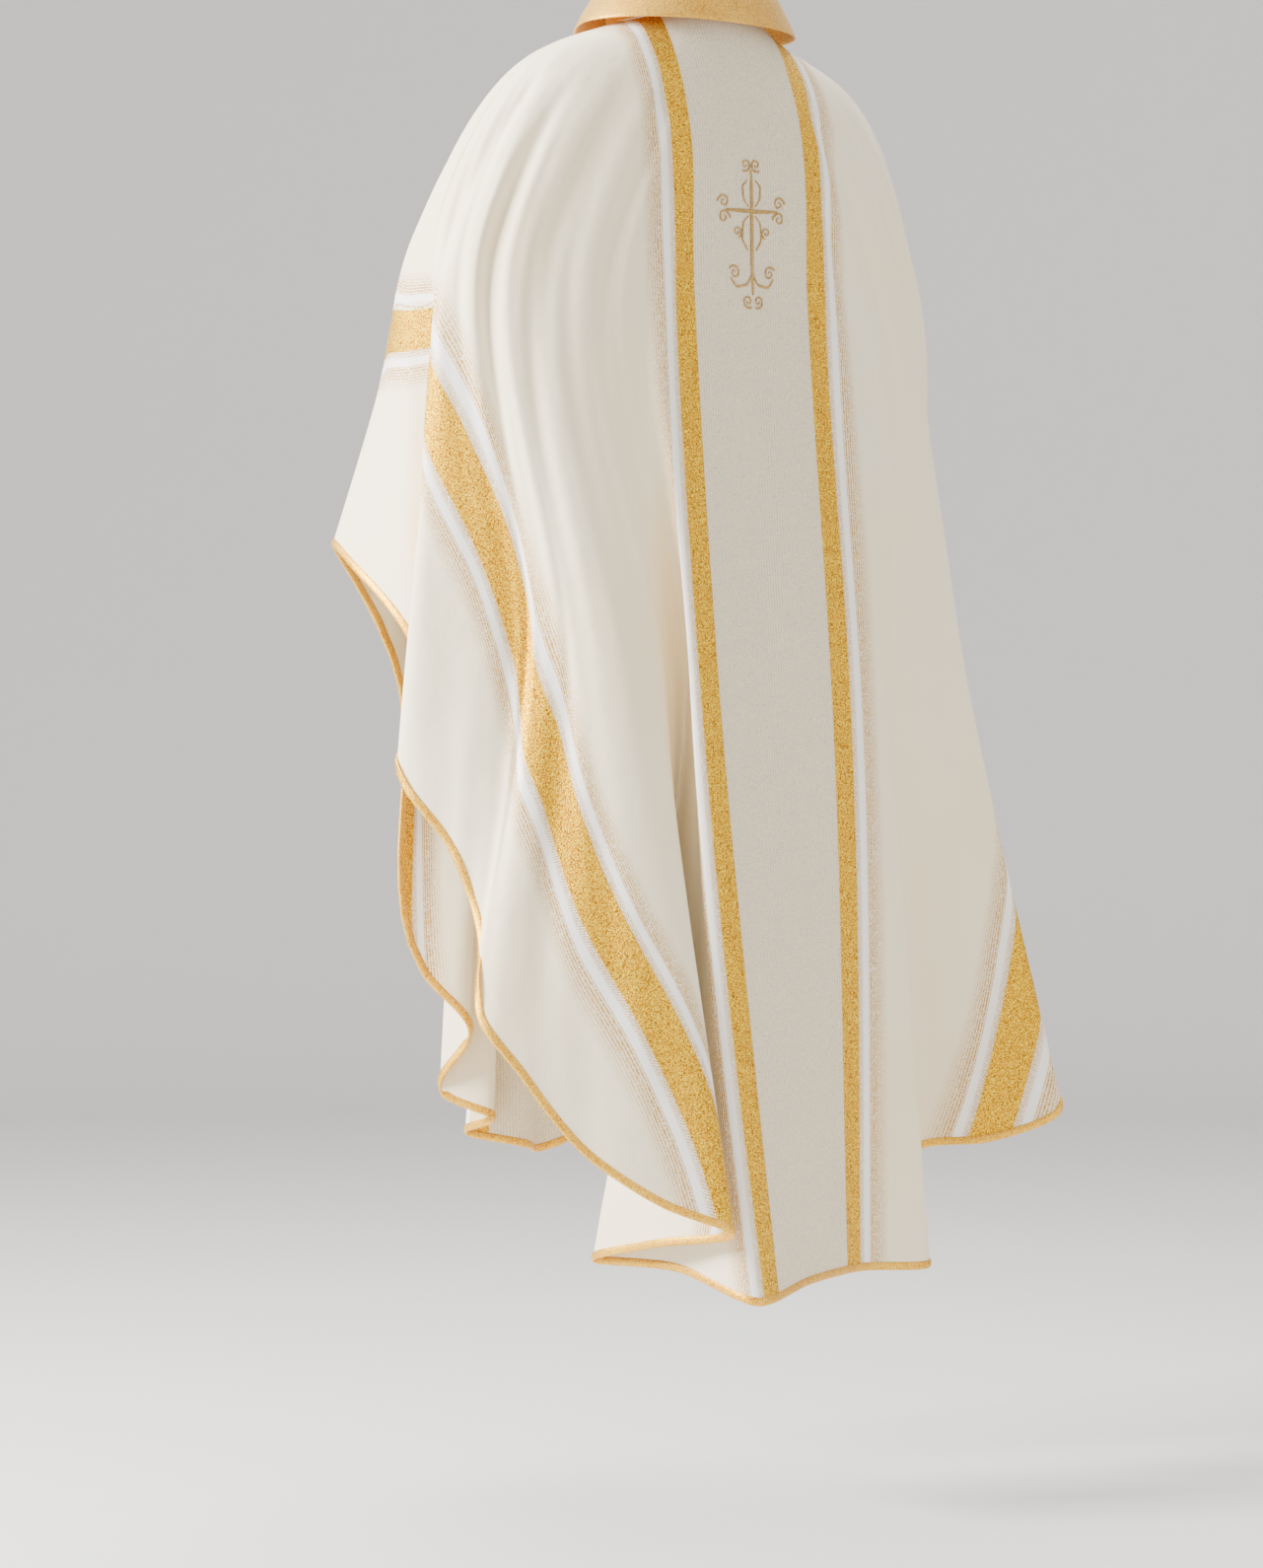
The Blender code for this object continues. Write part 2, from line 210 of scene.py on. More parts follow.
CREASES_LEFT = [
    Crease(9.0, 0.20, 9.3, 0.66, 9, 34, 9),
    Crease(10.8, 0.17, 11.2, 0.30, 8, 14, 5),
    Crease(6.6, 0.14, 7.4, 0.52, 16, 34, 5),
    Crease(4.6, 0.10, 4.4, 0.34, 10, 16, 4),
    Crease(9.4, 0.60, 9.2, 0.92, 16, 30, 5),
    Crease(7.6, 0.62, 7.9, 0.97, 26, 40, 4),
    Crease(11.9, 0.34, 12.2, 0.62, 12, 20, 4),
    Crease(15.0, 0.20, 15.6, 0.60, 12, 24, 5),
    Crease(18.2, 0.16, 18.6, 0.50, 12, 26, 5),
    Crease(21.5, 0.18, 21.8, 0.55, 12, 22, 4),
    Crease(23.6, 0.30, 23.4, 0.70, 14, 24, 4),
]

CREASES_RIGHT = [
    Crease(4.4, 0.12, 4.9, 0.46, 12, 28, 5),
    Crease(7.2, 0.16, 7.6, 0.58, 12, 30, 6),
    Crease(9.8, 0.20, 10.2, 0.62, 10, 30, 7),
    Crease(5.5, 0.58, 5.4, 0.94, 22, 36, 4),
    Crease(9.2, 0.62, 9.0, 0.95, 20, 34, 5),
    Crease(12.0, 0.30, 12.3, 0.64, 12, 22, 4),
    Crease(15.4, 0.22, 15.2, 0.58, 12, 24, 5),
    Crease(18.0, 0.18, 18.5, 0.52, 12, 26, 5),
    Crease(21.6, 0.16, 21.4, 0.50, 12, 24, 4),
    Crease(23.8, 0.34, 23.7, 0.72, 14, 26, 4),
]

# Slow unevenness of the hanging cloth: waves round the garment, drawn out down it
Ripple = namedtuple("Ripple", "waves_round waves_down phase height")

RIPPLES = [
    Ripple(17, 0.9, 0.4, 0.0011),
    Ripple(29, 1.6, 2.1, 0.0008),
    Ripple(43, -1.3, 4.0, 0.0005),
    Ripple(71, 2.3, 1.2, 0.0003),
]

MILLIMETRE = 0.001

# The neckline's radius in the flat cut
NECK_FLAT = 0.09

# A side band's middle in the flat cut: the heights where it is worked out, the step between
# them, and how far along it its bends are evened
BAND_HEIGHTS = (-0.2, 1.6)
BAND_STEP = 0.005
BAND_EVENED = 0.07

# How much the folds may widen or narrow a side band, and how many steps that is evened over
STEEPNESS_LIMITS = (0.5, 2.5)
STEEPNESS_REACH = 12

# The embroidered cross: the middle of its place on the centre back, in millimetres below the
# neckline, and how far its threads stand off the cloth
CROSS_DOWN = 236
THREAD_LIFT = 0.0004

# A stroke of the embroidery runs through its points: across and down from the cross's middle
# and its width, in millimetres. Both sides of the cross are alike.
Knot = namedtuple("Knot", "across down width")

STROKES = [
    [Knot(0, -62, 3.0), Knot(0, -40, 5.2), Knot(0, 0, 5.6), Knot(0, 40, 5.2), Knot(0, 66, 2.6)],
    [Knot(0, -20, 5.2), Knot(16, -20, 5.0), Knot(34, -20, 3.0)],
    [Knot(0, 44, 2.0), Knot(9, 56, 3.4), Knot(21, 58, 3.2), Knot(29, 50, 2.2)],
    [Knot(5, -15, 1.4), Knot(12, -6, 2.6), Knot(13, 8, 2.8), Knot(6, 20, 1.6)],
    [Knot(5, -25, 1.4), Knot(11, -33, 2.4), Knot(12, -44, 2.4), Knot(6, -52, 1.4)],
]

# A curl of the embroidery winds inwards: the middle, the turn where it starts and how far it
# winds, in degrees, the radius at both ends, and the width where it starts
Curl = namedtuple("Curl", "across down start wind radius end_radius width")

CURLS = [
    Curl(7, -68, 150, 470, 7.5, 1.6, 3.0),
    Curl(37, -28, 90, -460, 8.0, 1.6, 3.0),
    Curl(37, -12, 270, 460, 8.0, 1.6, 3.0),
    Curl(24, 44, 60, -470, 8.0, 1.6, 3.0),
    Curl(7, 73, 210, -470, 7.5, 1.6, 3.0),
    Curl(20, 2, 200, 450, 6.5, 1.4, 2.4),
]


# A stitched thread: eight corners round it and four rings along it
BEAD_CORNERS = 8
BEAD_RINGS = 4

# The cross's satin stitch: the step from one thread to the next, each thread's width and height,
# and how far it is turned from the line
SATIN_STEP = 0.00075
SATIN_WIDTH = 0.0011
SATIN_HEIGHT = 0.0019
SATIN_TURN = math.radians(72)

# The steps along a stroke between two of its points, and along a curl
STROKE_STEPS = 14
CURL_STEPS = 60

# The stitches that hold the binding: their height above the hem's fold, how far they lie out
# from the cloth's middle, the step between two, and each one's length, width and height
STITCH_HEIGHT = 0.0072
STITCH_OUT = 0.0018
STITCH_STEP = 0.0034
STITCH_LENGTH = 0.0025
STITCH_WIDTH = 0.0006
STITCH_PROUD = 0.0005

# The binding's section: the height above the hem's fold as a share, and how far out it lies as
# a share of the proud middle
BINDING_SECTION = [
    (1.00, 0.35), (0.93, 0.62), (0.80, 0.86), (0.62, 1.00), (0.42, 1.04), (0.22, 0.92), (0.08, 0.62),
]
BINDING_FOLD = 0.0001

# The pucker that the stitches pull into the binding: its depth as a share, and its two waves a
# column
PUCKER = 0.10
PUCKER_WAVES = (2.1, 0.37)

# The shoulder seams, and a place in metres from the panel and the side bands where the cloth is
# plain ivory
SEAM_HALF_WIDTH = 0.0016
SEAM_HALF_HEIGHT = 0.0012
SEAM_CORNERS = 10
PLAIN_CLOTH = 0.4

# Where each kind of thread lies, in millimetres from the panel's side of a gold band: lame,
# white satin, and loose gold threads
THREADS = [
    (-10.0, (0, 0, 0, 1)),
    (-1.6, (0, 0, 0, 1)),
    (-0.6, (0, 0, 0.7, 1)),
    (0.0, (1, 0, 0, 1)),
    (25.0, (1, 0, 0, 1)),
    (25.6, (0, 0.4, 1, 1)),
    (31.0, (0, 0.8, 0.7, 1)),
    (33.0, (0, 1, 0, 1)),
    (40.0, (0, 1, 0, 1)),
    (41.0, (0, 0.2, 1, 1)),
    (48.0, (0, 0.1, 1, 1)),
    (56.0, (0, 0, 0.6, 1)),
    (66.0, (0, 0, 0, 1)),
]
THREADS_START = -10
THREADS_END = 70
HATCH_ENDS = 36

# The weave, in millimetres. The slanted threads at a band's edge repeat every 3 mm, about twice
# as coarse as woven, and the loose threads beyond them lie 3 mm apart, about twice their real
# spacing. The panel's ribs are 3.4 mm apart.
HATCH_SLANT = 0.9
HATCH_HALF = 1.5
LINES_HALF = 1.5
RIBS_HALF = 1.7

# Noise, in waves a metre: metal grains 1.6 mm across, larger than real so that they show, which carry the
# lame's painted glints and painted shade, the twill's grain of 0.7 mm, hand marks 60 mm across and slow
# changes of tone 200 mm across, which paint uneven light on the ivory
GLITTER_SCALE = 620.0
TWILL_SCALE = 1400.0
HANDLED_SCALE = 16.0
PAINTED_LIGHT_SCALE = 5.0

# The room, the camera and where it looks
FLOOR_HEIGHT = -1.54
FLOOR_START = 0.0001
FLOOR_RADIUS = 5.6
BEND_RADIUS = 1.6
WALL_HEIGHT = 5.5
ROOM_STEPS = 96
VIEW_TURN = math.radians(40)
VIEW_DISTANCE = 4.8
AIM = Vector((0.0446, -0.0374, -0.80))
LENS = 70.28
SENSOR_HEIGHT = 24

# Each light's offset to the camera's right, towards the camera and up, its size and its power
Light = namedtuple("Light", "name right near up size power")

LIGHTS = [
    Light("key", -2.6, 1.2, 1.5, 1.4, 430),
    Light("fill", 2.8, 2.0, 0.3, 2.4, 30),
    Light("top", 0, -1.2, 2.8, 2.0, 110),
]
WORLD_STRENGTH = 1.5


def hex_colour(code):
    """Linear colour from an sRGB hex code."""
    linear = []
    for start in (1, 3, 5):
        value = int(code[start:start + 2], 16) / 255
        linear.append(value / 12.92 if value <= 0.04045 else ((value + 0.055) / 1.055) ** 2.4)
    return (*linear, 1)


def smooth_step(value, start, end):
    share = np.clip((value - start) / (end - start), 0, 1)
    return share * share * (3 - 2 * share)


# The cloth's form

def polar(turn, reach, drop, side):
    """A point from its turn in degrees from the centre back, its reach and its drop."""
    angle = math.radians(turn)
    return (side * reach * math.sin(angle), reach * math.cos(angle), -drop)


def oval(around, half_width, back, front, squareness, side):
    """A point of an oval ring round the neck, wider than it is deep."""
    across = math.sin(math.radians(around))
    along = math.cos(math.radians(around))
    depth = back if along > 0 else front
    x = half_width * abs(across) ** squareness
    y = depth * math.copysign(abs(along) ** squareness, along)
    return side * x, y


def blend_drop(around, at_back, at_side, at_front):
    """A ring's drop: its value at the back, the side or the front, blended between them."""
    along = math.cos(math.radians(around))
    end = at_back if along > 0 else at_front
    return at_side + (end - at_side) * along * along


def neck_point(around, side):
    """A point of the neckline."""
    x, y = oval(around, NECK_HALF_WIDTH, NECK_BACK, NECK_FRONT, 1, side)
    return (x, y, -blend_drop(around, 0, NECK_DROP_SIDE, NECK_DROP_FRONT))


def shoulder_point(around, side):
    """A point of the ring on the shoulders."""
    x, y = oval(
        around, SHOULDER_HALF_WIDTH, SHOULDER_BACK, SHOULDER_FRONT, SHOULDER_SQUARENESS, side
    )
    return (x, y, -blend_drop(around, SHOULDER_DROP_BACK, SHOULDER_DROP_SIDE, SHOULDER_DROP_FRONT))


def arm_point(around, side):
    """A point of the ring round the upper arms."""
    x, y = oval(around, ARM_HALF_WIDTH, ARM_BACK, ARM_FRONT, ARM_SQUARENESS, side)
    y -= ARM_FORWARD * (x / ARM_HALF_WIDTH) ** 2
    return (x, y, -blend_drop(around, ARM_DROP_BACK, ARM_DROP_SIDE, ARM_DROP_FRONT))


def fold_line(fold, side):
    """The points that one fold's line passes through, from the neckline to the hem."""
    waist = (fold.waist_turn, fold.waist_reach * MILLIMETRE, fold.waist_drop * MILLIMETRE)
    hem = (fold.hem_turn, fold.hem_reach * MILLIMETRE, fold.hem_drop * MILLIMETRE)
    return [
        neck_point(fold.around, side),
        shoulder_point(fold.around, side),
        arm_point(fold.around, side),
        polar(*waist, side),
        polar(*hem, side),
    ]


def length_of(vectors):
    return np.sqrt((vectors ** 2).sum(axis=-1))


def unit(vectors):
    return vectors / np.maximum(length_of(vectors), 1e-9)[..., None]


def hermite(start, start_slope, end, end_slope, length, share):
    """Points on the cubics between two sets of points."""
    square, cube = share ** 2, share ** 3
    return (
        start * (2 * cube - 3 * square + 1)
        + start_slope * (length * (cube - 2 * square + share))
        + end * (3 * square - 2 * cube)
        + end_slope * (length * (cube - square))
    )


def mean_slope(run_back, run_on, length_back, length_on):
    """The slope at a point between two runs, in which the shorter one counts for more."""
    return (run_back * length_on + run_on * length_back) / (length_back + length_on)


def rings_through(lines):
    """Each level's closed curve through the fold lines, with STEPS_ACROSS steps between two."""
    hem = lines[:, -1]
    lengths = length_of(np.roll(hem, -1, axis=0) - hem)[:, None, None]
    runs = (np.roll(lines, -1, axis=0) - lines) / lengths
    slopes = mean_slope(np.roll(runs, 1, axis=0), runs, np.roll(lengths, 1, axis=0), lengths)
    count = len(lines)
    columns = np.zeros((count * STEPS_ACROSS, *lines.shape[1:]))
    for step in range(STEPS_ACROSS):
        columns[step::STEPS_ACROSS] = hermite(
            lines, slopes, np.roll(lines, -1, axis=0), np.roll(slopes, -1, axis=0),
            lengths, step / STEPS_ACROSS,
        )
    return columns


def curves_down(controls):
    """The cubics down each column: their slopes and the lengths of their chords."""
    chords = controls[:, 1:] - controls[:, :-1]
    lengths = length_of(chords)[..., None]
    runs = chords / lengths
    slopes = np.zeros_like(controls)
    slopes[:, 0] = runs[:, 0]
    slopes[:, -1] = runs[:, -1]
    slopes[:, 1:-1] = mean_slope(runs[:, :-1], runs[:, 1:], lengths[:, :-1], lengths[:, 1:])
    return slopes, lengths[..., 0]


def down_the_cloth(controls, shares):
    """Points at the given shares of each column's length, one row of shares for each column."""
    slopes, lengths = curves_down(controls)
    places = np.concatenate([np.zeros((len(lengths), 1)), np.cumsum(lengths, axis=1)], axis=1)
    wanted = shares * places[:, -1:]
    points = np.zeros((*wanted.shape, 3))
    for level in range(lengths.shape[1]):
        first, last = level == 0, level == lengths.shape[1] - 1
        inside = np.ones(wanted.shape, bool)
        if not first:
            inside &= wanted > places[:, level:level + 1]
        if not last:
            inside &= wanted <= places[:, level + 1:level + 2]
        column = np.nonzero(inside)[0]
        length = lengths[column, level][:, None]
        share = (wanted[inside] - places[column, level])[:, None] / length
        points[inside] = hermite(
            controls[column, level], slopes[column, level],
            controls[column, level + 1], slopes[column, level + 1], length, share,
        )
    return points


def garment_controls():
    """The points that every column passes through: the left's folds, then the right's."""
    lines = [fold_line(fold, 1) for fold in FOLDS_LEFT]
    lines += [fold_line(fold, -1) for fold in reversed(FOLDS_RIGHT[1:-1])]
    return rings_through(np.array(lines))


def inward_of(points):
    """The inward direction at each point of the closed grid."""
    across = np.roll(points, -1, axis=0) - np.roll(points, 1, axis=0)
    down = np.gradient(points, axis=1)
    return unit(np.cross(down, across))


def arc_lengths(points):
    """Length along each level from the centre back, growing by the left, at each column."""
    steps = length_of(np.roll(points, -1, axis=0) - points)
    total = np.cumsum(steps, axis=0)
    return np.concatenate([np.zeros((1, points.shape[1])), total[:-1]], axis=0), total[-1]


def down_lengths(points):
    """Length down each column from the neckline."""
    steps = length_of(np.diff(points, axis=1))
    return np.concatenate([np.zeros((len(points), 1)), np.cumsum(steps, axis=1)], axis=1)


def column_place(row, side):
    """The column of a place counted in fold rows from the centre back."""
    folds = len(FOLDS_LEFT) + len(FOLDS_RIGHT) - 2
    return (row if side > 0 else folds - row) * STEPS_ACROSS


def crease_depth(arcs, shares, creases, side):
    """How far the creases of one side push the cloth in, at each point."""
    columns = np.arange(len(arcs))
    depth = np.zeros_like(arcs)
    for crease in creases:
        for level in range(arcs.shape[1]):
            share = (shares[level] - crease.down) / (crease.end_down - crease.down)
            if not -0.25 < share < 1.25:
                continue
            row = crease.row + (crease.end_row - crease.row) * share
            middle = np.interp(column_place(row, side), columns, arcs[:, level])
            width = crease.width + (crease.end_width - crease.width) * min(max(share, 0), 1)
            offset = (arcs[:, level] - middle) / (width * MILLIMETRE)
            profile = (1 - 0.45 * offset ** 2) * np.exp(-0.5 * offset ** 2)
            fade = smooth_step(share, -0.2, 0.18) * (1 - smooth_step(share, 0.45, 1.2))
            depth[:, level] += crease.depth * MILLIMETRE * fade * profile
    return depth


def ripple_height(count, shares):
    """The slow unevenness, none at the neckline and full from the shoulder blades down."""
    turn = np.arange(count)[:, None] / count * 2 * math.pi
    down = shares[None, :] * 2 * math.pi
    height = np.zeros((count, len(shares)))
    for ripple in RIPPLES:
        height += ripple.height * np.sin(
            turn * ripple.waves_round + down * ripple.waves_down + ripple.phase
        )
    return height * smooth_step(shares, 0.06, 0.3)[None, :]


def band_offset(aside, below, stops):
    """How far aside of a side band's middle each point lies in the cut."""
    places = np.arange(*BAND_HEIGHTS, BAND_STEP)
    middles = np.interp(
        places, [stop.below * MILLIMETRE for stop in stops],
        [stop.aside * MILLIMETRE for stop in stops],
    )
    reach = int(BAND_EVENED / BAND_STEP)
    weights = np.hanning(2 * reach + 1)
    padded = np.pad(middles, reach, mode="edge")
    middles = np.convolve(padded, weights / weights.sum(), mode="valid")
    return aside - np.interp(below, places, middles)


def evened(values, reach):
    """A grid's values, each averaged with those near it."""
    weights = np.hanning(2 * reach + 3)[1:-1]
    weights /= weights.sum()
    round_it = sum(
        weight * np.roll(values, step, axis=0)
        for step, weight in zip(range(-reach, reach + 1), weights)
    )
    padded = np.pad(round_it, ((0, 0), (reach, reach)), mode="edge")
    levels = values.shape[1]
    return sum(weights[i] * padded[:, i:i + levels] for i in range(2 * reach + 1))


def steepness(points, values):
    """How fast values change along the cloth, evened out over the folds."""
    round_way = (np.roll(points, -1, axis=0) - np.roll(points, 1, axis=0)) / 2
    down_way = np.gradient(points, axis=1)
    round_rate = (np.roll(values, -1, axis=0) - np.roll(values, 1, axis=0)) / 2
    down_rate = np.gradient(values, axis=1)
    e = (round_way ** 2).sum(axis=-1)
    f = (round_way * down_way).sum(axis=-1)
    g = (down_way ** 2).sum(axis=-1)
    squared = g * round_rate ** 2 - 2 * f * round_rate * down_rate + e * down_rate ** 2
    rate = np.sqrt(np.maximum(squared, 0) / np.maximum(e * g - f * f, 1e-16))
    return evened(np.clip(rate, *STEEPNESS_LIMITS), STEEPNESS_REACH)


def smooth_through(values, places):
    """A smooth curve through evenly placed values, which never overshoots them."""
    slopes = np.zeros_like(values)
    runs = np.diff(values)
    same_way = runs[:-1] * runs[1:] > 0
    means = 2 * runs[:-1] * runs[1:] / np.where(same_way, runs[:-1] + runs[1:], 1)
    slopes[1:-1] = np.where(same_way, means, 0)
    slopes[0], slopes[-1] = runs[0], runs[-1]
    index = np.clip(places.astype(int), 0, len(values) - 2)
    return hermite(
        values[index], slopes[index], values[index + 1], slopes[index + 1], 1, places - index
    )


class Cloth:
    """The garment's surface on a closed grid of columns and levels, with its measures."""

    def __init__(self):
        controls = garment_controls()
        lengths = curves_down(controls)[1].sum(axis=1)
        hem = controls[:, -1]
        hem_way = unit(np.roll(hem, -1, axis=0) - np.roll(hem, 1, axis=0))
        last_way = unit(controls[:, -1] - controls[:, -2])
        crossing = np.maximum(length_of(np.cross(last_way, hem_way)), LEAST_CROSSING)
        self.full = np.linspace(0, 1, STEPS_DOWN)
        ends = 1 - CLOTH_SHORT / crossing / lengths
        base = down_the_cloth(controls, self.full[None, :] * ends[:, None])
        arcs = arc_lengths(base)[0]
        depth = crease_depth(arcs, self.full, CREASES_LEFT, 1)
        depth += crease_depth(arcs, self.full, CREASES_RIGHT, -1)
        sink = ripple_height(len(base), self.full) + depth
        self.points = base + inward_of(base) * sink[..., None]
        self.inward = inward_of(self.points)
        self.arcs, self.rounds = arc_lengths(self.points)
        self.downs = down_lengths(self.points)
        hem_sink = sink[:, -1:]
        self.edge = down_the_cloth(controls, np.ones((len(base), 1)))[:, 0]
        self.edge = self.edge + self.inward[:, -1] * hem_sink

    def measures(self, front):
        """Distances for the woven bands: from the panel's middle, from a side band's middle, and
        down the cloth."""
        count = len(self.arcs)
        half = count // 2
        left = np.arange(count) < half
        if front:
            across = np.abs(self.arcs - self.arcs[half][None, :])
        else:
            across = np.minimum(self.arcs, self.rounds[None, :] - self.arcs)
        radius = NECK_FLAT + self.downs
        aside = radius * np.sin(across / radius)
        below = radius * np.cos(across / radius)
        if front:
            offset = band_offset(aside, below, BAND_FRONT)
        else:
            on_left = band_offset(aside, below, BAND_BACK_LEFT)
            on_right = band_offset(aside, below, BAND_BACK_RIGHT)
            offset = np.where(left[:, None], on_left, on_right)
        band = np.abs(offset) / steepness(self.points, offset)
        return {"across": across, "band": band, "along": below}


def wrap(values, start, stop):
    """Columns from start to stop, going round past the end of the grid."""
    return values[np.arange(start, stop) % len(values)]


def grid_faces(columns, levels, closed):
    """Corner numbers of a grid's faces, which look inward where columns run to the left."""
    last = columns if closed else columns - 1
    i = np.arange(last)[:, None]
    k = np.arange(levels - 1)[None, :]
    j = (i + 1) % columns
    corners = [i * levels + k, i * levels + k + 1, j * levels + k + 1, j * levels + k]
    return np.stack([corner.ravel() for corner in np.broadcast_arrays(*corners)], axis=1)


def shell_faces(columns, levels):
    """Faces of an open sheet with thickness: inside, outside and the four edges."""
    inside = grid_faces(columns, levels, False)
    total = columns * levels
    outside = inside[:, ::-1] + total
    i = np.arange(columns - 1)
    k = np.arange(levels - 1)
    top, bottom = i * levels, i * levels + levels - 1
    first, last = k, (columns - 1) * levels + k
    rims = [
        np.stack([top + levels, top + levels + total, top + total, top], axis=1),
        np.stack([bottom, bottom + total, bottom + levels + total, bottom + levels], axis=1),
        np.stack([first, first + total, first + 1 + total, first + 1], axis=1),
        np.stack([last + 1, last + 1 + total, last + total, last], axis=1),
    ]
    return np.concatenate([inside, outside, *rims])


def make_piece(name, points, faces, material, values=None):
    """A finished piece at the origin, shaded smooth, with its attributes in millimetres."""
    mesh = bpy.data.meshes.new(name)
    mesh.from_pydata(np.asarray(points).tolist(), [], [list(face) for face in faces])
    mesh.update()
    for attribute, numbers in (values or {}).items():
        layer = mesh.attributes.new(attribute, "FLOAT", "POINT")
        layer.data.foreach_set("value", np.asarray(numbers, dtype=np.float32).ravel() / MILLIMETRE)
    mesh.shade_smooth()
    mesh.set_sharp_from_angle(angle=math.radians(60))
    mesh.materials.append(material)
    piece = bpy.data.objects.new(name, mesh)
    bpy.context.collection.objects.link(piece)
    return piece


def make_panel(name, cloth, start, stop, front, material):
    """The back or the front, between the two shoulder seams."""
    points = wrap(cloth.points, start, stop + 1).copy()
    inward = wrap(cloth.inward, start, stop + 1)
    for end, beside in ((0, 1), (-1, -2)):
        points[end] += unit(points[beside] - points[end]) * SEAM_GAP / 2
    columns, levels = points.shape[:2]
    outside = points + inward * CLOTH_OUTSIDE
    inside = points + inward * CLOTH_INSIDE
    vertices = np.concatenate([inside.reshape(-1, 3), outside.reshape(-1, 3)])
    values = {}
    for attribute, grid in cloth.measures(front).items():
        values[attribute] = np.tile(wrap(grid, start, stop + 1).ravel(), 2)
    return make_piece(name, vertices, shell_faces(columns, levels), material, values)


def tube_faces(rings, corners, closed):
    """Faces of a tube of rings, round each of which the corners run."""
    last = rings if closed else rings - 1
    faces = []
    for i in range(last):
        j = (i + 1) % rings
        for k in range(corners):
            n = (k + 1) % corners
            faces.append((i * corners + k, i * corners + n, j * corners + n, j * corners + k))
    if not closed:
        faces.append(tuple(range(corners - 1, -1, -1)))
        faces.append(tuple((rings - 1) * corners + k for k in range(corners)))
    return faces


def make_tube(name, sections, closed, material, values=None):
    """A closed ring or a capped length of tube, from one section after another."""
    rings, corners = sections.shape[:2]
    piece = make_piece(name, sections.reshape(-1, 3), tube_faces(rings, corners, closed), material, values)
    bm = bmesh.new()
    bm.from_mesh(piece.data)
    bmesh.ops.recalc_face_normals(bm, faces=bm.faces)
    bm.to_mesh(piece.data)
    bm.free()
    return piece


# Threads, laid along paths by one node tree

def thread_tree():
    """A tree that lays short threads along a path, turned from it by an angle."""
    tree = bpy.data.node_groups.new("threads_along_a_path", "GeometryNodeTree")
    sockets = (
        ("Geometry", "INPUT", "NodeSocketGeometry"),
        ("Spacing", "INPUT", "NodeSocketFloat"),
        ("Length", "INPUT", "NodeSocketFloat"),
        ("Width", "INPUT", "NodeSocketFloat"),
        ("Height", "INPUT", "NodeSocketFloat"),
        ("Turn", "INPUT", "NodeSocketFloat"),
        ("Unevenness", "INPUT", "NodeSocketFloat"),
        ("Seed", "INPUT", "NodeSocketInt"),
        ("Thread", "INPUT", "NodeSocketMaterial"),
        ("Geometry", "OUTPUT", "NodeSocketGeometry"),
    )
    for name, way, kind in sockets:
        tree.interface.new_socket(name, in_out=way, socket_type=kind)
    given = add(tree, "NodeGroupInput").outputs
    curve = add(tree, "GeometryNodeMeshToCurve", {}, {"Mesh": given["Geometry"]})
    path = add(
        tree, "GeometryNodeResampleCurve", {"mode": "LENGTH"},
        {"Curve": curve, "Length": given["Spacing"]},
    )
    way = add(tree, "GeometryNodeInputTangent")
    out = add(tree, "GeometryNodeInputNamedAttribute", {"data_type": "FLOAT_VECTOR"}, {"Name": "out"})
    wide = add(tree, "GeometryNodeInputNamedAttribute", {"data_type": "FLOAT"}, {"Name": "wide"})
    lie = add(tree, "FunctionNodeAlignRotationToVector", {"axis": "X"}, {"Vector": way})
    lie = add(
        tree, "FunctionNodeAlignRotationToVector", {"axis": "Z", "pivot_axis": "X"},
        {"Rotation": lie, "Vector": out},
    )
    twist = add(tree, "ShaderNodeCombineXYZ", {}, {"Z": given["Turn"]})
    twist = add(tree, "FunctionNodeEulerToRotation", {}, {0: twist})
    lie = add(
        tree, "FunctionNodeRotateRotation", {"rotation_space": "LOCAL"},
        {"Rotation": lie, "Rotate By": twist},
    )
    least = add(tree, "ShaderNodeMath", {"operation": "SUBTRACT"}, {0: 1.0, 1: given["Unevenness"]})
    uneven = add(
        tree, "FunctionNodeRandomValue", {"data_type": "FLOAT"},
        {2: least, 3: 1.0, "Seed": given["Seed"]},
    )
    length = add(tree, "ShaderNodeMath", {"operation": "MULTIPLY"}, {0: given["Length"], 1: wide})
    length = add(tree, "ShaderNodeMath", {"operation": "MULTIPLY"}, {0: length, 1: uneven.outputs[1]})
    size = add(
        tree, "ShaderNodeCombineXYZ", {}, {"X": length, "Y": given["Width"], "Z": given["Height"]}
    )
    bead = add(
        tree, "GeometryNodeMeshUVSphere", {},
        {"Segments": BEAD_CORNERS, "Rings": BEAD_RINGS, "Radius": 0.5},
    )
    laid = add(
        tree, "GeometryNodeInstanceOnPoints", {},
        {"Points": path, "Instance": bead, "Rotation": lie, "Scale": size},
    )
    real = add(tree, "GeometryNodeRealizeInstances", {}, {"Geometry": laid})
    soft = add(tree, "GeometryNodeSetShadeSmooth", {}, {"Geometry": real})
    dressed = add(
        tree, "GeometryNodeSetMaterial", {}, {"Geometry": soft, "Material": given["Thread"]}
    )
    add(tree, "NodeGroupOutput", {}, {"Geometry": dressed})
    return tree


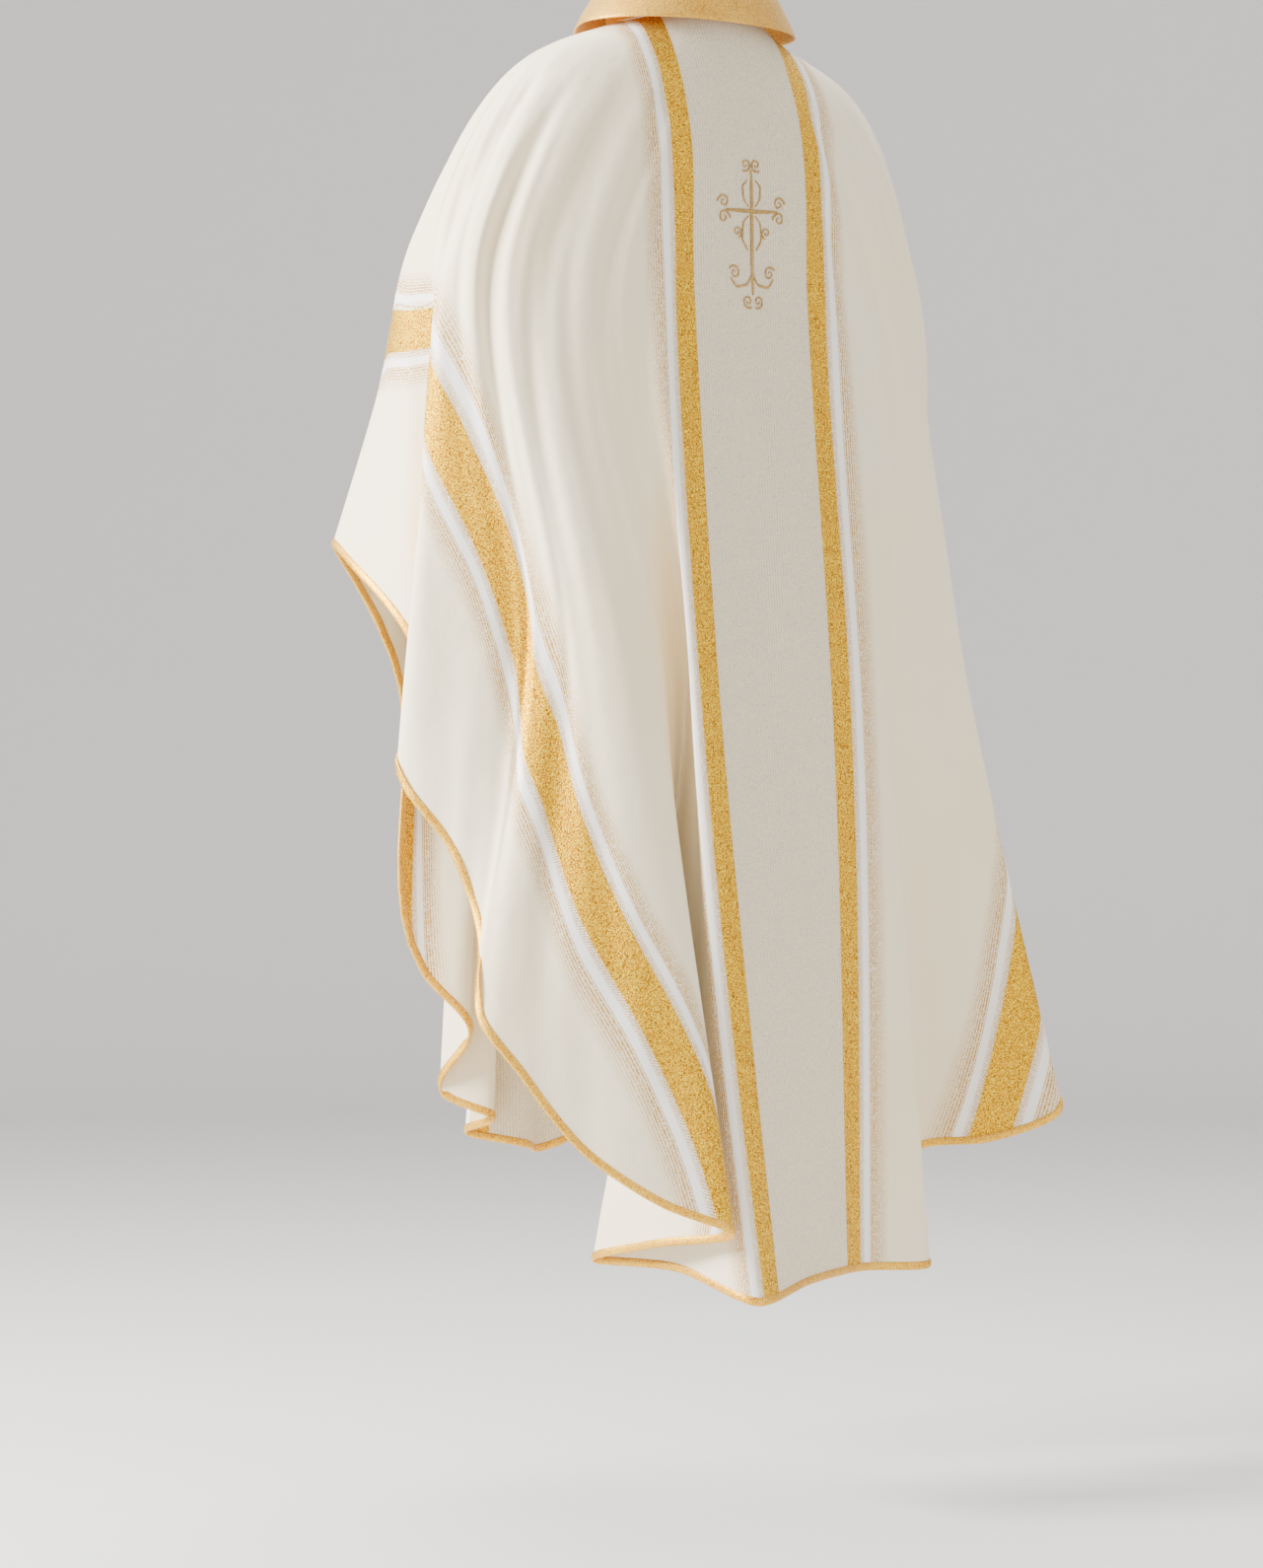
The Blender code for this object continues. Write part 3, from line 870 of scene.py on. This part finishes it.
def lay_threads(name, tree, paths, **inputs):
    """Threads along paths, each of points, outward directions and widths, as a plain mesh."""
    mesh = bpy.data.meshes.new(name)
    points, outs, widths, edges = [], [], [], []
    for path, out, wide in paths:
        first = len(points)
        points += path.tolist()
        outs += out.tolist()
        widths += list(wide)
        edges += [(i, i + 1) for i in range(first, len(points) - 1)]
    mesh.from_pydata(points, edges, [])
    mesh.attributes.new("out", "FLOAT_VECTOR", "POINT").data.foreach_set("vector", np.ravel(outs))
    mesh.attributes.new("wide", "FLOAT", "POINT").data.foreach_set("value", widths)
    guide = bpy.data.objects.new(name, mesh)
    bpy.context.collection.objects.link(guide)
    modifier = guide.modifiers.new("threads", "NODES")
    modifier.node_group = tree
    for item in tree.interface.items_tree:
        if item.in_out == "INPUT" and item.name in inputs:
            modifier[item.identifier] = inputs[item.name]
    shown = guide.evaluated_get(bpy.context.evaluated_depsgraph_get())
    made = bpy.data.meshes.new_from_object(shown)
    made.materials.clear()
    made.materials.append(inputs["Thread"])
    made.polygons.foreach_set("material_index", np.zeros(len(made.polygons), dtype=np.int32))
    guide.modifiers.remove(modifier)
    guide.data = made
    return guide


def on_centre_back(cloth, across, down):
    """The points and outward directions of places given in millimetres on the centre back."""
    reach = 6 * STEPS_ACROSS
    columns = np.arange(-reach, reach + 1)
    signed = cloth.arcs[columns] - np.where(columns < 0, 1, 0)[:, None] * cloth.rounds[None, :]
    points, outs = [], []
    for x, y in zip(np.asarray(across) * MILLIMETRE, np.asarray(down) * MILLIMETRE):
        level = np.interp(y, cloth.downs[0], np.arange(len(cloth.downs[0])))
        low = int(level)
        place = np.interp(x, signed[:, low], columns)
        left = int(math.floor(place))
        for grid, found in ((cloth.points, points), (-cloth.inward, outs)):
            near = grid[left, low] * (left + 1 - place) + grid[left + 1, low] * (place - left)
            far = grid[left, low + 1] * (left + 1 - place) + grid[left + 1, low + 1] * (place - left)
            found.append(near * (low + 1 - level) + far * (level - low))
    return np.array(points), unit(np.array(outs))


def stroke_paths():
    """The embroidery's lines: across, down and width at each step."""
    lines = []
    for knots in STROKES:
        steps = np.linspace(0, len(knots) - 1, STROKE_STEPS * (len(knots) - 1) + 1)
        lines.append([
            smooth_through(np.array([knot[part] for knot in knots], float), steps)
            for part in range(3)
        ])
    for curl in CURLS:
        share = np.linspace(0, 1, CURL_STEPS)
        angle = np.radians(curl.start + curl.wind * share)
        radius = curl.radius + (curl.end_radius - curl.radius) * share ** 0.8
        lines.append([
            curl.across + radius * np.sin(angle),
            curl.down - radius * np.cos(angle),
            curl.width * (1 - 0.5 * share),
        ])
    mirrored = [[-across, down, width] for across, down, width in lines[1:]]
    return lines + mirrored


def make_cross(cloth, tree, material):
    """The cross with curls in satin stitch: threads side by side across each line."""
    paths = []
    for across, down, width in stroke_paths():
        points, outs = on_centre_back(cloth, across, down + CROSS_DOWN)
        paths.append((points + outs * (THREAD_LIFT - CLOTH_OUTSIDE), outs, width))
    return lay_threads(
        "cross_embroidery", tree, paths, Spacing=SATIN_STEP, Length=MILLIMETRE, Width=SATIN_WIDTH,
        Height=SATIN_HEIGHT, Turn=SATIN_TURN, Unevenness=0.12, Seed=4, Thread=material,
    )


def make_stitches(cloth, tree, material):
    """The line of stitches that holds the binding, just below its upper edge."""
    edge, up, out = binding_frame(cloth)
    middle = (CLOTH_INSIDE + CLOTH_OUTSIDE) / 2
    line = edge + up * STITCH_HEIGHT + out * (STITCH_OUT - middle)
    line = np.concatenate([line, line[:1]])
    out = np.concatenate([out, out[:1]])
    return lay_threads(
        "binding_stitches", tree, [(line, out, np.ones(len(line)))], Spacing=STITCH_STEP,
        Length=STITCH_LENGTH, Width=STITCH_WIDTH, Height=STITCH_PROUD, Turn=0.0, Unevenness=0.15,
        Seed=9, Thread=material,
    )


def binding_frame(cloth):
    """The hem's line, the way up the cloth square to it and the way out, at each column."""
    edge = cloth.edge
    way = unit(np.roll(edge, -1, axis=0) - np.roll(edge, 1, axis=0))
    out = -cloth.inward[:, -1]
    out = unit(out - way * (out * way).sum(axis=1)[:, None])
    up = unit(np.cross(way, out))
    towards = cloth.points[:, -6] - edge
    return edge, up * np.sign((up * towards).sum(axis=1))[:, None], out


def make_binding(cloth, material):
    """The folded strip round the hem: a soft flat roll that takes in the cloth's edge."""
    edge, up, out = binding_frame(cloth)
    middle = (CLOTH_INSIDE + CLOTH_OUTSIDE) / 2
    half = (CLOTH_INSIDE - CLOTH_OUTSIDE) / 2
    quick, slow = (np.sin(np.arange(len(edge)) * wave) for wave in PUCKER_WAVES)
    pucker = 1 + PUCKER * quick * slow
    section = []
    for side, profile in ((1, BINDING_SECTION), (-1, BINDING_SECTION[::-1])):
        for high, far in profile:
            proud = side * (half + BINDING_PROUD * far * pucker)[:, None]
            section.append(edge + up * (BINDING_HEIGHT * high) + out * (proud - middle))
        if side == 1:
            section.append(edge - up * BINDING_FOLD - out * middle)
    return make_tube("hem_binding_roll", np.stack(section, axis=1), True, material)


def make_seam(name, cloth, side, material):
    """The raised line along a shoulder seam, over the small gap between back and front."""
    column = int(column_place(SEAM_ROW, side))
    path = cloth.points[column, 2:-2]
    out = -cloth.inward[column, 2:-2]
    way = unit(np.gradient(path, axis=0))
    aside = unit(np.cross(way, out))
    middle = (CLOTH_INSIDE + CLOTH_OUTSIDE) / 2
    sections = []
    for step in range(SEAM_CORNERS):
        angle = 2 * math.pi * step / SEAM_CORNERS
        sections.append(
            path + aside * (SEAM_HALF_WIDTH * math.cos(angle))
            + out * (SEAM_HALF_HEIGHT * math.sin(angle) - middle)
        )
    plain = np.full((len(path), SEAM_CORNERS), PLAIN_CLOTH)
    values = {"across": plain, "band": plain, "along": plain}
    return make_tube(name, np.stack(sections, axis=1), False, material, values)


def collar_middle(around, side):
    """Points of the collar's inner face at one place round the neck, from the neckline up,
    over the fold and down to the edge, with the outward direction there."""
    base = np.array(neck_point(around, side))
    x, y = oval(around, NECK_HALF_WIDTH, NECK_BACK, NECK_FRONT, 1, side)
    across = abs(math.sin(math.radians(around)))
    out = unit(np.array([x / NECK_HALF_WIDTH ** 2, y / NECK_BACK ** 2, 0.0]))
    up = np.array([0.0, 0.0, 1.0])
    spread = COLLAR_SPREAD_BACK + (COLLAR_SPREAD_SIDE - COLLAR_SPREAD_BACK) * across ** 2
    fall = COLLAR_FALL_BACK + (COLLAR_FALL_SIDE - COLLAR_FALL_BACK) * across ** 2
    radius = COLLAR_FOLD_RADIUS
    start = base + up * COLLAR_LIFT
    middle = [start + up * (COLLAR_STAND - radius) * share for share in np.linspace(0, 1, 7)]
    top = middle[-1] + out * radius
    for degrees in range(165, 0, -15):
        angle = math.radians(degrees)
        middle.append(top + out * math.cos(angle) * radius + up * math.sin(angle) * radius)
    shoulder = top + out * radius
    edge = base + out * spread + up * (COLLAR_STAND - fall)
    for share in np.linspace(0, 1, 16):
        swell = up * COLLAR_SWELL * math.sin(math.pi * share)
        middle.append(shoulder + (edge - shoulder) * share + swell)
    middle = np.array(middle)
    lead = unit(np.gradient(middle, axis=0))
    away = up[None, :] * (lead @ out)[:, None] - out[None, :] * (lead @ up)[:, None]
    return middle, unit(away), lead


def make_collar(name, side, material):
    """Half of the turned-down collar, from the centre back to the centre front."""
    rings = []
    for step in range(COLLAR_SEGMENTS + 1):
        around = 180 * step / COLLAR_SEGMENTS
        middle, away, lead = collar_middle(around, side)
        half = COLLAR_CLOTH / 2
        core = middle + away * half
        ease = 1 - 0.18 * np.exp(-((np.arange(len(core)) - len(core) + 4) / 1.6) ** 2)
        outer = core + away * half * (2 - ease)[:, None]
        inner = core - away * half
        rim = [core[-1] + lead[-1] * half * 0.7 + away[-1] * half * 0.6,
               core[-1] + lead[-1] * half,
               core[-1] + lead[-1] * half * 0.7 - away[-1] * half * 0.6]
        rings.append(np.concatenate([outer, np.array(rim), inner[::-1]]))
    rings = np.array(rings)
    for end, beside in ((0, 1), (-1, -2)):
        rings[end] += unit(rings[beside] - rings[end]) * SEAM_GAP / 2
    return make_tube(name, rings, False, material)


# Materials

def add(tree, kind, settings=None, inputs=None):
    """Add a node with its settings, and link or set its inputs."""
    made = tree.nodes.new(kind)
    for name, value in (settings or {}).items():
        setattr(made, name, value)
    for name, value in (inputs or {}).items():
        socket = made.inputs[name]
        if isinstance(value, bpy.types.Node):
            tree.links.new(value.outputs[0], socket)
        elif isinstance(value, bpy.types.NodeSocket):
            tree.links.new(value, socket)
        else:
            socket.default_value = value
    return made


def set_stops(ramp, stops, interpolation="LINEAR"):
    """Fill a colour ramp from pairs of a place and a colour."""
    band = ramp.color_ramp
    band.interpolation = interpolation
    while len(band.elements) > 1:
        band.elements.remove(band.elements[-1])
    band.elements[0].position = stops[0][0]
    band.elements[0].color = stops[0][1]
    for place, colour in stops[1:]:
        band.elements.new(place).color = colour


def new_material(name):
    material = bpy.data.materials.new(name)
    material.use_nodes = True
    tree = material.node_tree
    return material, tree, tree.nodes["Principled BSDF"]


def woven_cloth():
    """Wool and silk twill with bands of gold lame woven in.

    The twill is matt with a soft bloom, the white stripes are smooth satin, and the lame
    glitters because its flat metal threads catch the light one by one."""
    material, tree, shader = new_material("ivory_twill_with_woven_lame")
    across = add(tree, "ShaderNodeAttribute", {"attribute_name": "across"}).outputs["Fac"]
    band = add(tree, "ShaderNodeAttribute", {"attribute_name": "band"}).outputs["Fac"]
    along = add(tree, "ShaderNodeAttribute", {"attribute_name": "along"}).outputs["Fac"]
    place = add(tree, "ShaderNodeTexCoord").outputs["Object"]

    from_panel = add(tree, "ShaderNodeMath", {"operation": "SUBTRACT"}, {0: across, 1: PANEL_HALF})
    from_side = add(
        tree, "ShaderNodeMath", {"operation": "ADD"}, {0: band, 1: GOLD_WIDE - SIDE_GOLD_HALF}
    )
    beside = add(tree, "ShaderNodeMath", {"operation": "MINIMUM"}, {0: from_panel, 1: from_side})
    share = add(tree, "ShaderNodeMapRange", {}, {0: beside, 1: THREADS_START, 2: THREADS_END})
    threads = add(tree, "ShaderNodeValToRGB", {}, {0: share})
    span = THREADS_END - THREADS_START
    set_stops(threads, [((at - THREADS_START) / span, kind) for at, kind in THREADS])
    split = add(tree, "ShaderNodeSeparateColor", {}, {0: threads})
    lame, satin, loose = split.outputs[0], split.outputs[1], split.outputs[2]
    panel = add(tree, "ShaderNodeMath", {"operation": "LESS_THAN"}, {0: from_panel, 1: 0.0})

    # The slanted threads at the band's edge, and the loose threads beyond them
    slanted = add(
        tree, "ShaderNodeMath", {"operation": "MULTIPLY_ADD"},
        {0: beside, 1: HATCH_SLANT, 2: along},
    )
    hatch = add(tree, "ShaderNodeMath", {"operation": "PINGPONG"}, {0: slanted, 1: HATCH_HALF})
    hatch = add(tree, "ShaderNodeMath", {"operation": "DIVIDE"}, {0: hatch, 1: HATCH_HALF})
    lines = add(tree, "ShaderNodeMath", {"operation": "PINGPONG"}, {0: beside, 1: LINES_HALF})
    lines = add(tree, "ShaderNodeMath", {"operation": "DIVIDE"}, {0: lines, 1: LINES_HALF})
    outer = add(tree, "ShaderNodeMath", {"operation": "GREATER_THAN"}, {0: beside, 1: HATCH_ENDS})
    pattern = add(tree, "ShaderNodeMix", {"data_type": "FLOAT"}, {0: outer, 2: hatch, 3: lines})
    glitter = add(
        tree, "ShaderNodeTexNoise", {},
        {"Vector": place, "Scale": GLITTER_SCALE, "Detail": 2.0, "Roughness": 0.7},
    )
    grain = add(tree, "ShaderNodeMapRange", {}, {0: glitter.outputs[0], 1: 0.36, 2: 0.64})
    speckled = add(tree, "ShaderNodeMath", {"operation": "MULTIPLY"}, {0: pattern, 1: grain})
    speckled = add(
        tree, "ShaderNodeMath", {"operation": "MULTIPLY", "use_clamp": True}, {0: speckled, 1: 2.2}
    )
    gold_share = add(tree, "ShaderNodeMath", {"operation": "MULTIPLY"}, {0: speckled, 1: loose})

    # Ivory, with a slow change from warmer to cooler: painted uneven light, laid as random patches 200 mm
    # across
    slow = add(tree, "ShaderNodeTexNoise", {}, {"Vector": place, "Scale": PAINTED_LIGHT_SCALE, "Detail": 2.0})
    ivory = add(tree, "ShaderNodeValToRGB", {}, {0: slow.outputs[0]})
    set_stops(ivory, [(0.3, hex_colour("#FAE8C2")), (0.7, hex_colour("#FBEECF"))])
    # The centre panel: cream with ribs and flecks of metal thread
    ribs = add(tree, "ShaderNodeMath", {"operation": "PINGPONG"}, {0: across, 1: RIBS_HALF})
    ribs = add(tree, "ShaderNodeMath", {"operation": "DIVIDE"}, {0: ribs, 1: RIBS_HALF})
    flecks = add(tree, "ShaderNodeMix", {"data_type": "FLOAT"}, {0: 0.55, 2: ribs, 3: grain})
    cream = add(tree, "ShaderNodeValToRGB", {}, {0: flecks})
    set_stops(cream, [
        (0.1, hex_colour("#C2B49C")), (0.5, hex_colour("#E2D4BC")), (0.95, hex_colour("#FFEDB4")),
    ])
    # The lame's gold with painted glints and painted shade: dark brown to bright yellow over the grain
    gold = add(tree, "ShaderNodeValToRGB", {}, {0: grain})
    set_stops(gold, [
        (0.05, hex_colour("#8A5800")), (0.35, hex_colour("#E09A00")), (0.7, hex_colour("#FFC400")),
        (1.0, hex_colour("#FFF040")),
    ])
    thread_gold = hex_colour("#C08A10")
    white = hex_colour("#FFF9EF")
    colour = add(tree, "ShaderNodeMix", {"data_type": "RGBA"}, {0: panel, 6: ivory, 7: cream})
    for share, above in ((satin, white), (gold_share, thread_gold), (lame, gold)):
        colour = add(
            tree, "ShaderNodeMix", {"data_type": "RGBA"}, {0: share, 6: colour.outputs[2], 7: above}
        )
    tree.links.new(colour.outputs[2], shader.inputs["Base Color"])

    metal = 0.0
    for share, part in ((gold_share, 0.3), (lame, 0.85)):
        metal = add(
            tree, "ShaderNodeMath", {"operation": "MULTIPLY_ADD"}, {0: share, 1: part, 2: metal}
        )
    tree.links.new(metal.outputs[0], shader.inputs["Metallic"])
    rough = 0.68
    for share, part in ((satin, -0.25), (panel, -0.16), (lame, -0.22)):
        rough = add(
            tree, "ShaderNodeMath", {"operation": "MULTIPLY_ADD"}, {0: share, 1: part, 2: rough}
        )
    tree.links.new(rough.outputs[0], shader.inputs["Roughness"])
    shader.inputs["Sheen Weight"].default_value = 0.12
    shader.inputs["Sheen Roughness"].default_value = 0.4

    # Relief: the twill's fine grain, the panel's ribs, the lame's grains and soft hand marks
    weave = add(tree, "ShaderNodeTexNoise", {}, {"Vector": place, "Scale": TWILL_SCALE, "Detail": 1.0})
    rib_height = add(tree, "ShaderNodeMath", {"operation": "MULTIPLY"}, {0: ribs, 1: panel})
    lame_height = add(tree, "ShaderNodeMath", {"operation": "MULTIPLY"}, {0: grain, 1: lame})
    handled = add(
        tree, "ShaderNodeTexNoise", {}, {"Vector": place, "Scale": HANDLED_SCALE, "Detail": 3.0}
    )
    relief = 0.0
    for height, part in (
        (weave, 0.10), (rib_height, 0.14), (lame_height, 0.5), (gold_share, 0.15), (handled, 3.5),
    ):
        relief = add(
            tree, "ShaderNodeMath", {"operation": "MULTIPLY_ADD"}, {0: height, 1: part, 2: relief}
        )
    bump = add(tree, "ShaderNodeBump", {}, {"Height": relief, "Distance": MILLIMETRE, "Strength": 0.8})
    tree.links.new(bump.outputs[0], shader.inputs["Normal"])
    return material


def lame_cloth(name, dark_with_painted_shade, middle, bright_with_painted_glint, grain_size, roughness, metallic):
    """Plain lame: gold metal thread over a satin ground, with its glitter painted into the colour as a
    fine grain of painted glints and painted shade.
    """
    material, tree, shader = new_material(name)
    place = add(tree, "ShaderNodeTexCoord").outputs["Object"]
    glitter = add(
        tree, "ShaderNodeTexNoise", {},
        {"Vector": place, "Scale": 1 / grain_size, "Detail": 2.0, "Roughness": 0.7},
    )
    grain = add(tree, "ShaderNodeMapRange", {}, {0: glitter.outputs[0], 1: 0.34, 2: 0.66})
    slow = add(tree, "ShaderNodeTexNoise", {}, {"Vector": place, "Scale": 22.0, "Detail": 2.0})
    mixed = add(
        tree, "ShaderNodeMix", {"data_type": "FLOAT"}, {0: 0.3, 2: grain, 3: slow.outputs[0]}
    )
    # The colour runs from the dark stop to the bright one over the grain and slow patches: painted glints
    # and painted shade, over the metal's and the ground's own colours
    colour = add(tree, "ShaderNodeValToRGB", {}, {0: mixed})
    set_stops(colour, [
        (0.05, hex_colour(dark_with_painted_shade)), (0.45, hex_colour(middle)), (0.95, hex_colour(bright_with_painted_glint)),
    ])
    tree.links.new(colour.outputs[0], shader.inputs["Base Color"])
    shader.inputs["Roughness"].default_value = roughness
    shader.inputs["Metallic"].default_value = metallic
    shader.inputs["Sheen Weight"].default_value = 0.15
    relief = add(
        tree, "ShaderNodeMath", {"operation": "MULTIPLY_ADD"},
        {0: slow.outputs[0], 1: 3.0, 2: grain},
    )
    bump = add(
        tree, "ShaderNodeBump", {}, {"Height": relief, "Distance": 0.0003, "Strength": 0.6}
    )
    tree.links.new(bump.outputs[0], shader.inputs["Normal"])
    return material


def plain_material(name, code, roughness, grain_size, grain_depth):
    """Uncoated paper or the like: matt, in one tone, with a fine grain that keeps it soft."""
    material, tree, shader = new_material(name)
    place = add(tree, "ShaderNodeTexCoord").outputs["Object"]
    grain = add(
        tree, "ShaderNodeTexNoise", {}, {"Vector": place, "Scale": 1 / grain_size, "Detail": 2.0}
    )
    shader.inputs["Base Color"].default_value = hex_colour(code)
    shader.inputs["Roughness"].default_value = roughness
    bump = add(tree, "ShaderNodeBump", {}, {"Height": grain.outputs[0], "Distance": grain_depth})
    tree.links.new(bump.outputs[0], shader.inputs["Normal"])
    return material


# Studio

def make_studio():
    """A pale floor that curves up all round, the camera and three soft lights."""
    to_camera = Vector((math.sin(VIEW_TURN), math.cos(VIEW_TURN), 0))
    right = Vector((-to_camera.y, to_camera.x, 0))
    up = Vector((0, 0, 1))
    data = bpy.data.cameras.new("camera")
    data.sensor_fit = "VERTICAL"
    data.sensor_height = SENSOR_HEIGHT
    data.lens = LENS
    camera = bpy.data.objects.new("camera", data)
    camera.location = AIM + to_camera * VIEW_DISTANCE
    camera.rotation_euler = (-to_camera).to_track_quat("-Z", "Y").to_euler()
    bpy.context.collection.objects.link(camera)
    bpy.context.scene.camera = camera

    floor = plain_material("pale_paper_backdrop", "#D9D7D3", 0.85, 0.004, 0.0002)
    profile = [(FLOOR_START, 0.0), (FLOOR_RADIUS, 0.0)]
    for degrees in range(10, 91, 10):
        angle = math.radians(degrees)
        profile.append((
            FLOOR_RADIUS + BEND_RADIUS * math.sin(angle), BEND_RADIUS * (1 - math.cos(angle))
        ))
    profile.append((FLOOR_RADIUS + BEND_RADIUS, WALL_HEIGHT))
    points = []
    for step in range(ROOM_STEPS):
        angle = 2 * math.pi * step / ROOM_STEPS
        for reach, height in profile:
            points.append((reach * math.cos(angle), reach * math.sin(angle), FLOOR_HEIGHT + height))
    faces = grid_faces(ROOM_STEPS, len(profile), True)[:, ::-1]
    ground = make_piece("floor", points, faces, floor)

    for light in LIGHTS:
        offset = right * light.right + to_camera * light.near + up * light.up
        data = bpy.data.lights.new(light.name, "AREA")
        data.size = light.size
        data.energy = light.power
        lamp = bpy.data.objects.new(light.name, data)
        lamp.location = AIM + offset
        lamp.rotation_euler = (-offset).to_track_quat("-Z", "Y").to_euler()
        bpy.context.collection.objects.link(lamp)

    world = bpy.data.worlds.new("studio")
    world.use_nodes = True
    background = world.node_tree.nodes["Background"]
    background.inputs["Color"].default_value = hex_colour("#DCDDE0")
    background.inputs["Strength"].default_value = WORLD_STRENGTH
    bpy.context.scene.world = world


def main():
    make_studio()
    twill = woven_cloth()
    # The binding's and the collar's colours carry painted glints and painted shade in a fine grain
    binding_gold = lame_cloth(
        "gold_lame_bias_binding", "#A06A00", "#F0AC18", "#FFE060", 0.0016, 0.42, 0.7
    )
    collar_gold = lame_cloth(
        "gold_lame_satin", "#A86A08", "#E8A828", "#FFDC70", 0.0013, 0.40, 0.6
    )
    # The thread's dark and bright colours are painted shade and painted highlights of its raised stitches,
    # laid as a random grain
    silk = lame_cloth("gold_rayon_thread", "#80561A", "#B98C3C", "#F0D488", 0.0012, 0.32, 0.3)
    cloth = Cloth()
    seam = SEAM_ROW * STEPS_ACROSS
    count = len(cloth.points)
    back = make_panel("back_cloth", cloth, count - seam, count + seam, False, twill)
    front = make_panel("front_cloth", cloth, seam, count - seam, True, twill)
    binding = make_binding(cloth, binding_gold)
    seams = [
        make_seam("shoulder_seam_left", cloth, 1, twill),
        make_seam("shoulder_seam_right", cloth, -1, twill),
    ]
    tree = thread_tree()
    cross = make_cross(cloth, tree, silk)
    stitches = make_stitches(cloth, tree, binding_gold)
    collar_left = make_collar("collar_left_half", 1, collar_gold)
    collar_right = make_collar("collar_right_half", -1, collar_gold)

    for piece, node, slot in (
        (back, "back", "ivory_cloth"),
        (front, "front", "ivory_cloth"),
        (binding, "hem_binding", "gold_binding"),
        (collar_left, "collar_left", "gold_satin"),
        (collar_right, "collar_right", "gold_satin"),
    ):
        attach(piece, "root")
        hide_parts(node)
    for piece, slot in (
        (seams[0], "ivory_cloth"), (seams[1], "ivory_cloth"),
        (cross, "gold_satin"), (stitches, "gold_binding"),
    ):
        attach(piece, "root")


main()
